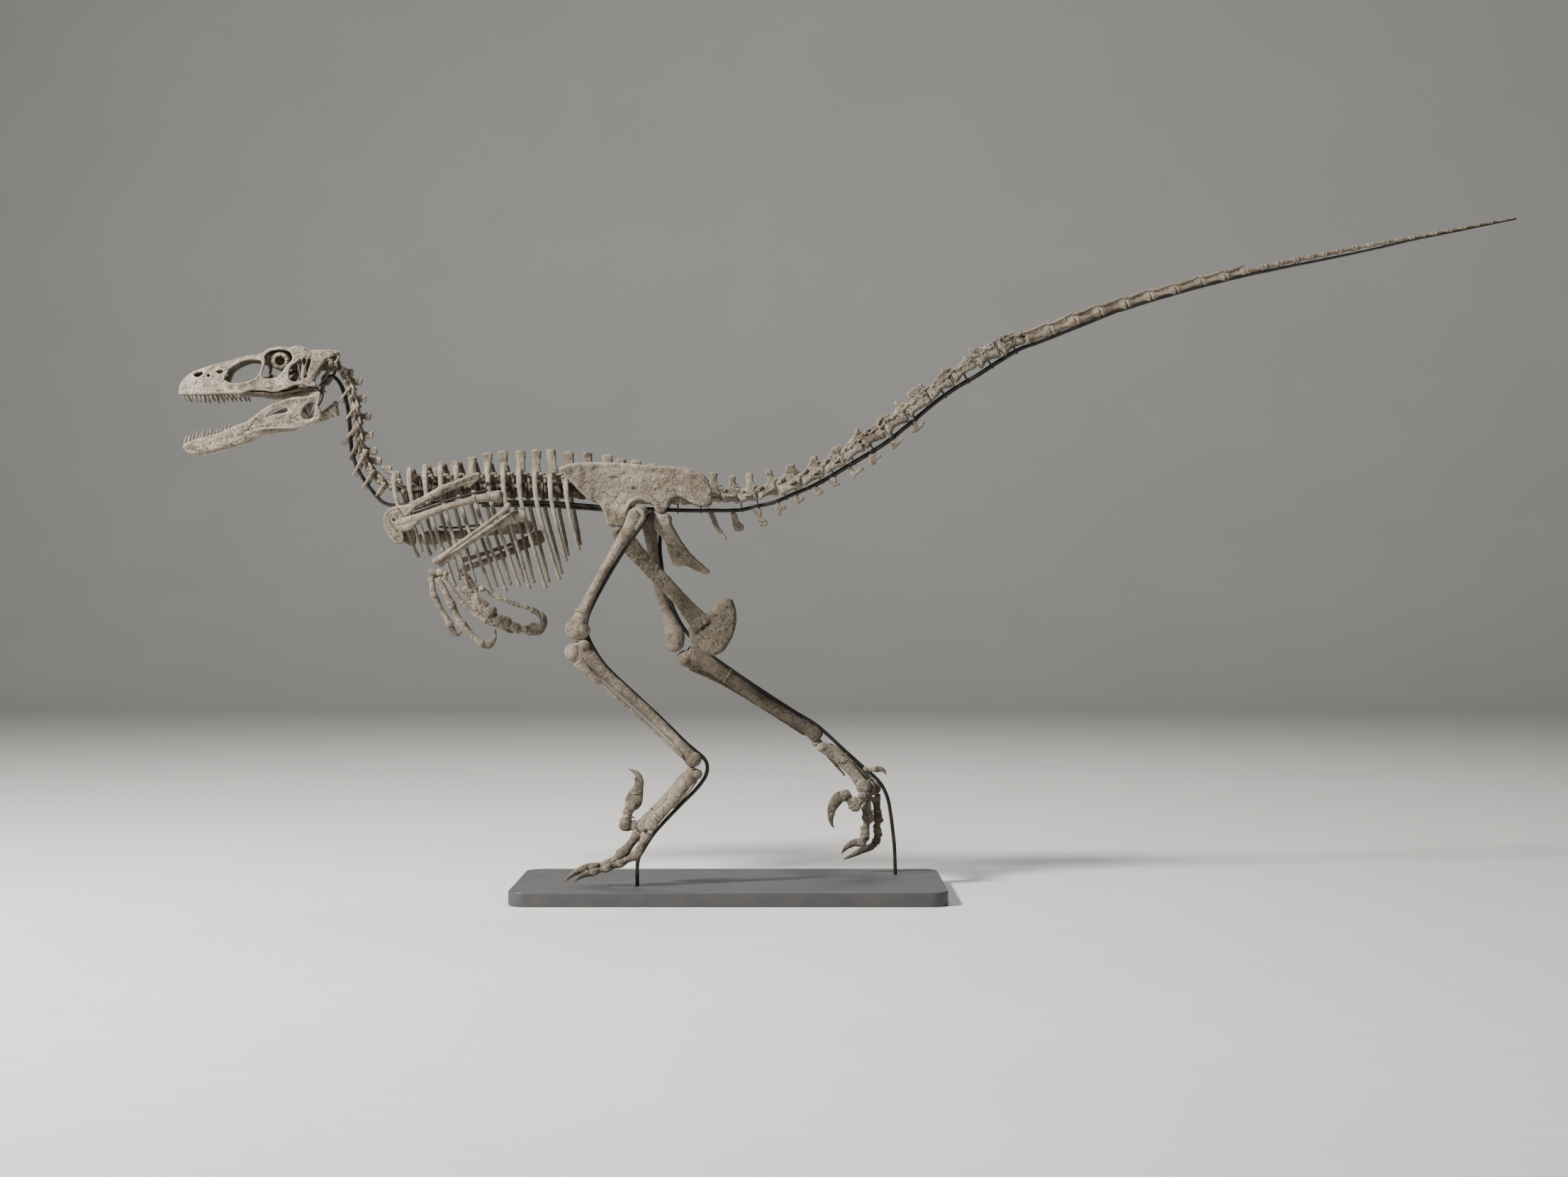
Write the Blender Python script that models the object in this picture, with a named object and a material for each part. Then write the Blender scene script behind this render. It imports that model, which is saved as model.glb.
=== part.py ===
"""Mounted skeleton of a running dromaeosaur, about 3 m long, on rods over a flat base.

The animal faces -X and its left side faces -Y. The origin is the middle of the base's
underside. Every bone is drawn as bars: smooth oval tubes that follow a short path. The
bars of one bone are fused and then thinned to few triangles.
Rows of a bar are (x, y, z, half height, half width) in millimetres.
"""

import math

import bmesh
import bpy
import numpy as np

MM = 0.001

# Driving sizes, in millimetres
BASE_LENGTH, BASE_WIDTH, BASE_TOP, BASE_ROUND = 960.0, 460.0, 32.0, 40.0
TRUNK_HALF_WIDTH = 104.0
SKULL_LEAN = 0.05  # the far side of the head sits this much lower per millimetre of depth
HALF_GAP = 1.6  # from the mid-plane to each half of the trunk
TRIANGLE_SCALE = 0.66

BONE = ("fossil_bone", (0.42, 0.36, 0.29), 0.75, 0.0)
STEEL = ("black_steel", (0.03, 0.03, 0.035), 0.4, 0.8)
BOARD = ("base_paint", (0.12, 0.12, 0.125), 0.55, 0.0)
NEAR, FAR = -1.0, 1.0  # the animal's left and right sides


def clear_scene():
    for thing in list(bpy.data.objects):
        bpy.data.objects.remove(thing, do_unlink=True)


def material(finish):
    name, colour, roughness, metallic = finish
    made = bpy.data.materials.get(name)
    if made is None:
        made = bpy.data.materials.new(name)
        made.use_nodes = True
        shader = made.node_tree.nodes["Principled BSDF"]
        shader.inputs["Base Color"].default_value = (*colour, 1.0)
        shader.inputs["Roughness"].default_value = roughness
        shader.inputs["Metallic"].default_value = metallic
    return made


class Part:
    """Collects the bars of one bone, each a closed shell of points and faces."""

    def __init__(self):
        self.bars = []

    def add(self, points, faces):
        self.bars.append((points, faces))

    def shell(self, half=0.0):
        """All bars as one mesh; `half` flattens them at the mid-plane and drops what is past it."""
        points, faces, count = [], [], 0
        for ring, sides in self.bars:
            if half and (ring[:, 1] * half).max() < HALF_GAP * 2:
                continue
            if half:
                ring = ring.copy()
                ring[:, 1] = half * np.maximum(ring[:, 1] * half, HALF_GAP)
            faces += [tuple(i + count for i in side) for side in sides]
            points.append(ring)
            count += len(ring)
        return np.vstack(points), faces


def smooth_rows(rows, steps):
    """Catmull-Rom curve through the rows, with `steps` stations for each stretch."""
    rows = np.array(rows, dtype=float)
    if len(rows) < 3 or steps < 2:
        return rows
    padded = np.vstack([2 * rows[0] - rows[1], rows, 2 * rows[-1] - rows[-2]])
    out = []
    for i in range(1, len(padded) - 2):
        a, b, c, d = padded[i - 1 : i + 3]
        for t in np.arange(steps) / steps:
            out.append(
                0.5 * (2 * b + (c - a) * t + (2 * a - 5 * b + 4 * c - d) * t**2
                       + (3 * b - a - 3 * c + d) * t**3)
            )
    out.append(rows[-1])
    out = np.array(out)
    out[:, 3:] = np.maximum(out[:, 3:], rows[:, 3:].min() * 0.6)
    return out


def bar(part, rows, across=(0, 1, 0), sides=8, steps=3):
    """An oval tube along the rows' path; the half width lies along `across`."""
    rows = smooth_rows(rows, steps)
    path = rows[:, :3]
    tangent = np.gradient(path, axis=0)
    tangent /= np.linalg.norm(tangent, axis=1)[:, None]
    wide = np.array(across, dtype=float) - tangent * (tangent @ np.array(across, dtype=float))[:, None]
    wide /= np.linalg.norm(wide, axis=1)[:, None]
    high = np.cross(tangent, wide)
    turn = np.arange(sides) * 2 * math.pi / sides
    ring = (
        path[:, None, :]
        + high[:, None, :] * (rows[:, 3, None] * np.cos(turn))[:, :, None]
        + wide[:, None, :] * (rows[:, 4, None] * np.sin(turn))[:, :, None]
    )
    last = len(path) - 1
    faces = []
    for i in range(last):
        for j in range(sides):
            k = (j + 1) % sides
            faces.append((i * sides + j, i * sides + k, (i + 1) * sides + k, (i + 1) * sides + j))
    faces.append(tuple(reversed(range(sides))))
    faces.append(tuple(last * sides + j for j in range(sides)))
    part.add(ring.reshape(-1, 3), faces)


def mirrored(rows):
    return [(x, -y, z, h, w) for x, y, z, h, w in rows]


def both(part, rows, **options):
    bar(part, rows, **options)
    bar(part, mirrored(rows), **options)


def ball(part, x, y, z, r, flat=1.0):
    """A round lump, `flat` times as wide as it is high."""
    stations = [(x + r * math.cos(a), y, z, r * math.sin(a) + 0.3, r * flat * math.sin(a) + 0.3)
                for a in np.linspace(math.pi, 0, 7)]
    bar(part, stations, steps=1)


def claw(part, rows, across=(0, 1, 0)):
    bar(part, rows, across=across, sides=8, steps=4)


def link(name, points, faces, finish):
    mesh = bpy.data.meshes.new(name)
    mesh.from_pydata([tuple(p) for p in np.array(points) * MM], [], faces)
    mesh.validate()
    body = bmesh.new()
    body.from_mesh(mesh)
    bmesh.ops.recalc_face_normals(body, faces=body.faces)
    body.to_mesh(mesh)
    body.free()
    made = bpy.data.objects.new(name, mesh)
    mesh.materials.append(material(finish))
    bpy.context.scene.collection.objects.link(made)
    return made


def fuse(name, part, triangles, voxel=2.2, finish=BONE, half=0.0, lean=0.0):
    """Joins a part's bars into one skin of about `triangles` faces.

    `half` keeps only the near (-1) or far (+1) side of the mid-plane, `lean` shears the
    far side down.
    """
    points, faces = part.shell(half)
    points[:, 2] -= lean * points[:, 1]
    made = link(name, points, faces, finish)
    skin = made.modifiers.new("skin", "REMESH")
    skin.mode = "VOXEL"
    skin.voxel_size = voxel * MM
    faces = sum(len(face.vertices) - 2 for face in evaluated(made).data.polygons)
    thin = made.modifiers.new("thin", "DECIMATE")
    thin.ratio = min(1.0, triangles * TRIANGLE_SCALE / faces)
    bone = bpy.data.meshes.new_from_object(evaluated(made))
    made.modifiers.clear()
    made.data = bone
    keep_main_body(bone)
    return made


def evaluated(made):
    graph = bpy.context.evaluated_depsgraph_get()
    graph.update()
    return made.evaluated_get(graph)


def keep_main_body(mesh):
    """Thinning can leave a flake off a sharp tip: only the largest body stays."""
    body = bmesh.new()
    body.from_mesh(mesh)
    left, groups = set(body.faces), []
    for first in body.faces:
        if first not in left:
            continue
        left.discard(first)
        group = [first]
        for face in group:
            for edge in face.edges:
                for other in edge.link_faces:
                    if other in left:
                        left.discard(other)
                        group.append(other)
        groups.append(group)
    groups.sort(key=len)
    bmesh.ops.delete(body, geom=[face for group in groups[:-1] for face in group], context="FACES")
    body.to_mesh(mesh)
    body.free()


def rod(name, rows, radius, finish=STEEL, sides=6):
    """A round rod along a path of (x, y, z), with a point every few diameters."""
    part = Part()
    bar(part, [(x, y, z, radius, radius) for x, y, z in rows], sides=sides, steps=1)
    return link(name, *part.shell(), finish)


# ---------------------------------------------------------------- head


def skull():
    part = Part()
    # solid snout, from the tip to the front of the side opening
    bar(part, [(-1229, 0, 1130, 6, 9), (-1222, 0, 1138, 14, 16), (-1208, 0, 1144, 21, 21),
               (-1190, 0, 1148, 27, 26), (-1165, 0, 1152, 31, 32), (-1140, 0, 1157, 34, 36),
               (-1126, 0, 1159, 35, 39)])
    # roof from the nose to the crest at the back
    bar(part, [(-1150, 0, 1176, 14, 30), (-1125, 0, 1188, 11, 30), (-1100, 0, 1197, 10, 32),
               (-1075, 0, 1206, 7, 33), (-1050, 0, 1211, 8, 36), (-1025, 0, 1222, 6, 38),
               (-995, 0, 1225, 6, 40), (-965, 0, 1224, 8, 42), (-935, 0, 1219, 8, 32),
               (-905, 0, 1216, 11, 28), (-880, 0, 1212, 9, 30)])
    # lower side bar: maxilla, jugal and quadratojugal
    both(part, [(-1135, -34, 1141, 20, 6), (-1110, -38, 1136, 13, 5), (-1085, -42, 1139, 12, 5),
                (-1060, -45, 1147, 15, 5), (-1035, -50, 1145, 16, 4.5), (-1010, -54, 1145, 14, 4.5),
                (-985, -58, 1145, 8, 4.5), (-955, -61, 1146, 5.5, 4.5), (-928, -61, 1147, 5, 5)])
    # bar in front of the eye, and the one behind it
    both(part, [(-1046, -36, 1213, 6, 6), (-1046, -40, 1195, 4.5, 5), (-1050, -43, 1175, 4.5, 5),
                (-1060, -45, 1155, 7, 5)])
    both(part, [(-1008, -54, 1150, 13, 4.5), (-995, -56, 1169, 8, 4.5), (-983, -56, 1188, 6, 5),
                (-970, -54, 1208, 7, 6), (-966, -46, 1224, 9, 6)])
    # bar over the cheek opening, ending in the hook of the squamosal
    both(part, [(-982, -50, 1214, 5, 5), (-955, -53, 1211, 4.5, 4.5), (-925, -53, 1211, 5, 5),
                (-905, -48, 1207, 7, 6), (-890, -44, 1196, 6, 5)])
    both(part, [(-957, -60, 1149, 6, 4), (-951, -59, 1172, 3.5, 3.5), (-954, -56, 1192, 3.5, 3.5),
                (-960, -53, 1209, 4, 4)])
    both(part, [(-930, -60, 1144, 8, 8), (-933, -56, 1165, 6.5, 6), (-922, -50, 1188, 6, 5),
                (-906, -44, 1208, 7, 5)])
    # brow over the eye
    both(part, [(-1045, -35, 1217, 5, 7), (-1020, -40, 1224, 4.5, 7), (-990, -42, 1226, 5, 7),
                (-966, -42, 1226, 8, 6)])
    # braincase with its wings, and the knob that meets the neck
    bar(part, [(-985, 0, 1205, 10, 12), (-950, 0, 1200, 17, 18), (-915, 0, 1196, 21, 24),
               (-888, 0, 1197, 18, 22), (-879, 0, 1194, 9, 10)])
    both(part, [(-893, 0, 1206, 9, 10), (-889, -25, 1203, 7, 11), (-886, -48, 1196, 6, 9)],
         across=(0, 0, 1))
    # palate
    both(part, [(-1140, -12, 1136, 6, 5), (-1085, -16, 1137, 4, 7), (-1030, -20, 1139, 5, 9),
                (-980, -26, 1146, 5, 6), (-940, -44, 1152, 6, 5)])
    both(part, [(-1040, -50, 1140, 5, 5), (-1030, -20, 1138, 5, 6)], across=(0, 0, 1), steps=1)
    bar(part, [(-1040, 0, 1139, 4, 22), (-1000, 0, 1146, 4, 14), (-960, 0, 1170, 6, 8),
               (-940, 0, 1188, 8, 8)])
    teeth(part, -1222, -1092, 16, 1124, -17, 15, 11, 38)
    return fuse("skull", part, 1150, voxel=1.9, lean=SKULL_LEAN)


def teeth(part, first, last, count, gum, droop, length, front_half, back_half, rise=0.0, sides=(NEAR, FAR)):
    """A row of curved teeth, small in front and at the back; negative droop points down."""
    for side in sides:
        for i in range(count):
            t = i / (count - 1)
            x = first + (last - first) * t
            y = side * (front_half + (back_half - front_half) * t**0.6)
            z = gum + rise * t
            size = 0.75 + 0.35 * math.sin(math.pi * min(1, t * 1.2 + 0.15))
            drop = math.copysign(length * size, droop)
            bar(part, [(x, y, z - drop * 0.3, 3.0, 2.4), (x + 1, y, z + drop * 0.35, 2.6, 2.0),
                       (x + 4.5, y, z + drop, 0.8, 0.7)], sides=6, steps=2)


def mandible(side, name):
    part = Part()
    bar(part, [(-1224, side * 4, 1008, 4, 3), (-1212, side * 10, 1007, 11, 5),
               (-1190, side * 16, 1009, 15, 5.5), (-1150, side * 25, 1021, 18, 5.5),
               (-1110, side * 34, 1037, 17, 5.5), (-1075, side * 42, 1053, 20, 5)])
    # the openings lie between an upper and a lower bar
    bar(part, [(-1085, side * 40, 1058, 12, 5), (-1055, side * 46, 1076, 11, 5),
               (-1025, side * 51, 1096, 10, 5), (-990, side * 55, 1107, 7, 4.5),
               (-950, side * 58, 1115, 6.5, 4.5), (-925, side * 60, 1124, 6, 5)])
    bar(part, [(-1085, side * 40, 1046, 15, 5), (-1050, side * 46, 1060, 18, 5),
               (-1015, side * 51, 1062, 17, 5), (-980, side * 55, 1064, 17, 4.5),
               (-945, side * 58, 1064, 11, 5), (-914, side * 60, 1072, 7, 6)])
    bar(part, [(-985, side * 55, 1075, 15, 4.5), (-975, side * 56, 1090, 14, 4.5),
               (-962, side * 57, 1106, 11, 4.5)])
    bar(part, [(-923, side * 60, 1122, 6, 5), (-920, side * 60, 1104, 6, 5), (-919, side * 59, 1086, 9, 6),
               (-912, side * 57, 1084, 11, 7), (-898, side * 54, 1091, 12, 7), (-886, side * 52, 1095, 12, 6)])
    teeth(part, -1219, -1124, 13, 1014, 12, 13, 8, 31, rise=31, sides=(side,))
    return fuse(name, part, 430, voxel=1.9, lean=SKULL_LEAN)


def eye_ring(side, name):
    """The ring of small plates inside the eye socket, cupped outwards."""
    turns, section = 14, 5
    centre = np.array((-1006.0, side * 47.0, 1198.0))
    middle, half, thick = 14.5, 4.0, 1.3
    points, faces = [], []
    for i in range(turns):
        a = 2 * math.pi * i / turns
        for j in range(section):
            b = 2 * math.pi * j / section
            r = middle + half * math.cos(b)
            y = side * (2.4 * math.cos(b) * -1 + thick * math.sin(b))
            points.append(centre + np.array((r * math.cos(a), y, r * math.sin(a))))
            k, n = (i + 1) % turns, (j + 1) % section
            faces.append((i * section + j, k * section + j, k * section + n, i * section + n))
    points = np.array(points)
    points[:, 2] -= SKULL_LEAN * points[:, 1]
    return link(name, points, faces, BONE)


# ---------------------------------------------------------------- backbone


def vertebra(part, x, z, length, radius, top, spine_half, wing, slope=0.0, spine_lean=0.0, waist=0.8):
    """One vertebra. `slope` is the rise of the backbone per unit length, `top` the spine's
    height over the centrum's middle, `wing` the reach of the side processes."""
    half = length / 2
    bar(part, [(x - half, 0, z - slope * half, radius, radius), (x, 0, z, radius * waist, radius * waist),
               (x + half, 0, z + slope * half, radius, radius)], steps=2)
    arch = radius * 1.3
    bar(part, [(x - half * 0.9, 0, z - slope * half + arch, radius * 0.55, radius * 0.6),
               (x, 0, z + arch * 1.05, radius * 0.75, radius * 0.7),
               (x + half * 0.9, 0, z + slope * half + arch, radius * 0.55, radius * 0.6)], steps=1)
    lean = spine_lean - slope * 0.2 * top
    if top > arch + 8:
        bar(part, [(x - slope * arch, 0, z + arch, spine_half * 0.9, 4.0),
                   (x + lean * 0.6, 0, z + (arch + top) / 2, spine_half * 0.9, 3.0),
                   (x + lean, 0, z + top - 3, spine_half, 3.6), (x + lean, 0, z + top, spine_half * 0.7, 2.0)],
            steps=1)
    if wing > radius * 1.2:
        both(part, [(x, 0, z + arch * 1.05, 4.5, 9), (x + 3, -wing * 0.6, z + arch * 1.3, 3.5, 7.5),
                    (x + 4, -wing, z + arch * 1.55, 3.5, 7)], across=(1, 0, 0), steps=1)


NECK = [  # centrum middle x, z, half length along the neck, spine tip x, z
    (-872, 1178, 9, -856, 1180),
    (-862, 1152, 20, -832, 1159), (-851, 1115, 20, -824, 1120), (-843, 1078, 20, -814, 1080),
    (-839, 1041, 20, -808, 1038), (-833, 1005, 20, -800, 1000), (-821, 971, 20, -790, 978),
    (-801, 943, 19, -769, 958), (-775, 923, 18, -751, 947), (-746, 912, 17, -741, 927),
]


def neck(name, first, last, triangles):
    part = Part()
    for i in range(first, last):
        x, z, half, tip_x, tip_z = NECK[i]
        before = np.array(NECK[max(0, i - 1)][:2], dtype=float)
        after = np.array(NECK[min(len(NECK) - 1, i + 1)][:2], dtype=float)
        along = (after - before) / np.linalg.norm(after - before)
        up = np.array((along[1], -along[0])) * -1.0  # towards the nape
        here = np.array((x, z), dtype=float)
        start, stop = here - along * half, here + along * half
        if i == first:
            start = here - along * (half - 2.5)
        if i == last - 1:
            stop = here + along * (half - 6.0)
        bar(part, [(start[0], 0, start[1], 9.5, 13), (x, 0, z, 8, 10.5), (stop[0], 0, stop[1], 10, 14)],
            steps=2)
        nape = here + up * 12
        a, b = nape - along * (half - 4), nape + along * (half - (9 if i == last - 1 else 4))
        bar(part, [(a[0], 0, a[1], 6, 12), (nape[0], 0, nape[1], 8, 10), (b[0], 0, b[1], 6, 14)], steps=1)
        tip = np.array((tip_x, tip_z), dtype=float)
        middle = (nape + tip) / 2
        bar(part, [(nape[0], 0, nape[1], 9, 4), (middle[0], 0, middle[1], 7, 3.2), (tip[0], 0, tip[1], 8.5, 3.4),
                   (tip[0] * 1.25 - middle[0] * 0.25, 0, tip[1] * 1.25 - middle[1] * 0.25, 5, 2.4)], steps=1)
        # side processes and the thin ribs that trail from them
        low = here - up * 7
        trail = low + along * (half * 1.35) - up * 7
        both(part, [(here[0], 0, here[1], 7, 8), (low[0], -17, low[1], 5, 7)], across=(0, 0, 1), steps=1)
        if i < len(NECK) - 1:
            both(part, [(low[0], -17, low[1], 5, 3.5), (trail[0], -17, trail[1], 2.4, 2.2)], steps=1)
    return fuse(name, part, triangles, voxel=2.2)


DORSAL_X = [-715, -684, -654, -619, -583, -548, -512, -474, -438, -402, -361, -318]
DORSAL_TOP = [949, 964, 970, 981, 989, 999, 1004, 1003, 1004, 1006, 1001, 999]
RIB_TIP_Z = [760, 762, 690, 686, 677, 683, 692, 689, 690, 710, 750, 775]


def backbone_height(x):
    """The centra's middle height over the trunk and hips."""
    return 911.0 - 8.0 * ((x + 520.0) / 200.0) ** 2 * (1.0 if x < -520 else 0.35)


def rib(part, index, side):
    """A rib arches out from the side process, then runs down and slightly in to its tip."""
    t = index / 11
    x, top = -755 + 35.2 * index, 934 + 40 * math.sin(math.pi * min(1.0, 0.12 + t * 0.9))
    tip_x, tip_z = -695 + 33.2 * index, RIB_TIP_Z[index]
    reach = TRUNK_HALF_WIDTH * (0.55 + 0.45 * math.sin(math.pi * (0.1 + t * 0.75)))
    fall = top - tip_z
    places = [(0.0, 0.30, 0.0), (0.05, 0.62, 0.09), (0.16, 0.90, 0.27), (0.42, 1.0, 0.52),
              (0.72, 0.95, 0.76), (1.0, 0.80, 1.0)]
    sizes = [(6.5, 5.5), (6.5, 5.5), (6, 5), (5.6, 4.8), (5, 4.4), (4.4, 4)]
    rows = [(x + (tip_x - x) * a, side * reach * b, top - fall * c, h, w)
            for (a, b, c), (h, w) in zip(places, sizes)]
    bar(part, rows, across=(0, 1, 0.3), sides=7)
    centre = max(x - 4, DORSAL_X[0] - 10)
    bar(part, [(rows[1][0], rows[1][1] * 0.95, rows[1][2] - 2, 4, 4),
               (centre, side * 10, backbone_height(centre) + 8, 4.5, 4.5)], across=(1, 0, 0), steps=1)
    bar(part, [(rows[0][0], rows[0][1] * 1.05, rows[0][2], 5, 5),
               (centre, side * 8, backbone_height(centre) + 34, 6, 7)], across=(1, 0, 0), steps=1)


def trunk(side, name):
    part = Part()
    ends = DORSAL_X + [DORSAL_X[-1] + 38]
    for i, x in enumerate(DORSAL_X):
        z = backbone_height(x)
        middle = (ends[i] + ends[i + 1]) / 2 - (17 if i else 15)
        vertebra(part, middle, z, ends[i + 1] - ends[i] + (2 if i else -2), 18.5, DORSAL_TOP[i] - z, 10.5, 34, spine_lean=2)
    for i in range(12):
        rib(part, i, side)
    return fuse(name, part, 1682, voxel=2.4, half=side)


def sacrum():
    part = Part()
    tops = [(-280, 993), (-243, 985), (-210, 981), (-174, 973), (-131, 965), (-88, 958)]
    for x, top in tops:
        z = 900 - 0.02 * (x + 280)
        vertebra(part, x + 3 if x == -280 else x - 3, z, 46 if x > -200 else 32 if x == -280 else 42, 18, top - z, 11, 18, waist=0.92)
        both(part, [(x, -8, z + 14, 10, 8), (x, -42, z + 26, 9, 7)], across=(1, 0, 0), steps=1)
    return fuse("sacrum", part, 280, voxel=2.6)


TAIL = [  # joint middles of the backbone behind the hips: x, z, centrum half height
    (-62, 897, 17), (-22, 895, 16.5), (20, 893, 16), (60, 897, 15.5), (105, 907, 15), (150, 922, 15),
    (195, 942, 14.5), (236, 965, 14.5), (278, 994, 14), (320, 1022, 13.5), (365, 1055, 13), (410, 1085, 13),
    (452, 1116, 12.5), (497, 1151, 12.5), (545, 1188, 12), (590, 1217, 12), (635, 1243, 12), (690, 1260, 11),
    (754, 1283, 10.5), (811, 1306, 10), (868, 1328, 9.5), (922, 1344, 9), (979, 1359, 8.5), (1037, 1375, 8),
    (1092, 1389, 8), (1144, 1401, 7.5), (1184, 1409, 7.5), (1222, 1416, 7), (1262, 1424, 7), (1300, 1432, 6.5),
    (1332, 1438, 6.5), (1363, 1444, 6), (1397, 1450, 6), (1433, 1458, 5.5), (1467, 1466, 5.5), (1499, 1474, 5),
    (1529, 1480, 5), (1556, 1485, 4.5), (1589, 1491, 4.5), (1625, 1498, 4), (1657, 1504, 4), (1687, 1510, 3.5),
    (1717, 1516, 3.5), (1745, 1521, 3), (1776, 1528, 2.5),
]
TAIL_TOPS = [(-38, 952), (8, 945), (44, 952), (88, 960), (136, 973), (187, 990), (235, 1013), (284, 1048),
             (332, 1080), (376, 1113), (421, 1150)]
CHEVRONS = [  # x of its root, x and z of its foot, half length of the foot
    (-40, -12, 806, 4), (8, 20, 826, 10), (62, 74, 833, 11), (108, 118, 856, 12), (150, 160, 879, 13),
    (192, 202, 899, 14), (233, 243, 920, 14), (275, 286, 942, 14), (318, 330, 970, 14), (362, 378, 1004, 14),
    (400, 420, 1034, 14),
]


def tail_height(x):
    xs = [row[0] for row in TAIL]
    return float(np.interp(x, xs, [row[1] for row in TAIL]))


def tail(name, first, last, triangles, voxel):
    """A length of tail: centra from one joint middle to the next, with what grows on them."""
    part = Part()
    for i in range(first, last):
        x, z, radius = TAIL[i]
        x_next, z_next, radius_next = TAIL[i + 1]
        slope = (z_next - z) / (x_next - x)
        gap = 1.6
        a = x + (gap if i == first else -0.8)
        b = x_next - (gap if i == last - 1 else -0.8)
        waist = 0.72 if x < 640 else 0.5
        middle, height = (a + b) / 2, (z + z_next) / 2
        wide = 1.0 if x < 640 else 0.85
        bar(part, [(a, 0, z, radius, radius * wide), (middle, 0, height, radius * waist, radius * waist * wide),
                   (b, 0, z_next, radius_next, radius_next * wide)], steps=3)
        tops = [top for top in TAIL_TOPS if x - 24 < top[0] - 14 < x_next - 24 and x < 440]
        for top_x, top_z in tops:
            root = max(top_x - 10 - slope * 20, a + 12 if i == first else a - 12)
            bar(part, [(root, 0, tail_height(root) + radius * 0.5, 10, 9),
                       (root + 2, 0, tail_height(root) + radius * 1.5, 12, 7),
                       ((root + top_x) / 2, 0, (tail_height(root) + top_z) / 2 + 8, 8, 3.5),
                       (top_x, 0, top_z - 2, 9, 3.5)], steps=1)
        if x < 240:
            both(part, [(middle, -8, height + 5, 5, 10), (middle + 6, -30 + max(0, x) * 0.08, height + 9, 3, 8)],
                 across=(1, 0, 0), steps=1)
        if 400 < x < 640:
            # bundles of bony rods lie over and under these
            bar(part, [(a, 0, z + 21, 6, 8), (b, 0, z_next + 23, 6, 8)], steps=1)
            bar(part, [(a, 0, z - 15, 4, 7), (b, 0, z_next - 15, 4, 7)], steps=1)
            bar(part, [(middle, 0, height - 12, 6, 6), (middle, 0, height + 21, 6, 6)], steps=1)
        if 640 < x < 1180:
            bar(part, [(a + 6, 0, z + radius * 1.9, 3.2, 5), (middle, 0, height + radius * 1.7, 2.6, 4),
                       (b - 10, 0, z_next + radius * 1.5, 3, 4.5)], steps=1)
            bar(part, [(b - 12, 0, z_next, 5, 5), (b - 12, 0, z_next + radius * 1.6, 4.5, 4.5)], steps=1)
            bar(part, [(a + 10, 0, z, 5, 5), (a + 10, 0, z + radius * 2.1, 5, 5)], steps=1)
    for root, foot_x, foot_z, foot in CHEVRONS:
        if TAIL[first][0] + 8 < root < TAIL[last][0] - 8:
            top = tail_height(root) - 9
            slope = tail_height(root + 10) - tail_height(root - 10)
            fork = top - 24 - 0.4 * slope
            both(part, [(root, -10.5, top, 5, 3.2), (root + 2, -14, top - 14, 4, 3.2), (root + 5, -10.5, fork - 9, 4, 3.2),
                        (root + 7, 0, fork - 15, 5, 3.5)], steps=2)
            bar(part, [(root + 7, 0, fork - 13, 5, 3.5), (foot_x, 0, foot_z + 6, 5, 3.2)], steps=1)
            rise = 0.05 * slope * foot
            bar(part, [(foot_x - foot, 0, foot_z + 3 - rise, 2.5, 2.5), (foot_x, 0, foot_z + 4, 4, 3.2),
                       (foot_x + foot, 0, foot_z + 4 + rise, 2.5, 2.5)], steps=1)
    return fuse(name, part, triangles, voxel=voxel)


# ---------------------------------------------------------------- arms


def shoulder(side, name):
    """Blade and coracoid in one: the blade lies along the ribs, the coracoid turns in to the chest."""
    part = Part()
    y = side * 97
    bar(part, [(-553, y * 1.03, 940, 9, 3), (-570, y * 1.03, 935, 12, 3), (-605, y * 1.02, 920, 11, 3.5),
               (-650, y, 902, 8.5, 4), (-695, y * 0.98, 885, 8, 5), (-722, y * 0.96, 868, 13, 7),
               (-746, y * 0.9, 850, 27, 7), (-763, y * 0.72, 836, 24, 6), (-770, y * 0.52, 830, 14, 4)])
    bar(part, [(-744, y * 0.9, 840, 16, 7), (-752, y * 0.76, 818, 18, 6), (-744, y * 0.64, 801, 12, 4.5)])
    return fuse(name, part, 170, voxel=2.2)


def long_bone(name, rows, triangles, knobs=(), voxel=2.0):
    """A limb bone: a shaft that widens to its ends, and round knobs (x, y, z, radius, flatness)."""
    part = Part()
    bar(part, rows)
    for knob in knobs:
        ball(part, *knob)
    return fuse(name, part, triangles, voxel=voxel)


def finger(name, rows, joints, claw_rows, triangles=90):
    """Phalanges along the rows, with a knuckle at each joint, and a hooked claw."""
    part = Part()
    bar(part, rows, sides=7, steps=2)
    for x, y, z, r in joints:
        ball(part, x, y, z, r, 0.85)
    claw(part, claw_rows)
    return fuse(name, part, triangles, voxel=1.6)


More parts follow.
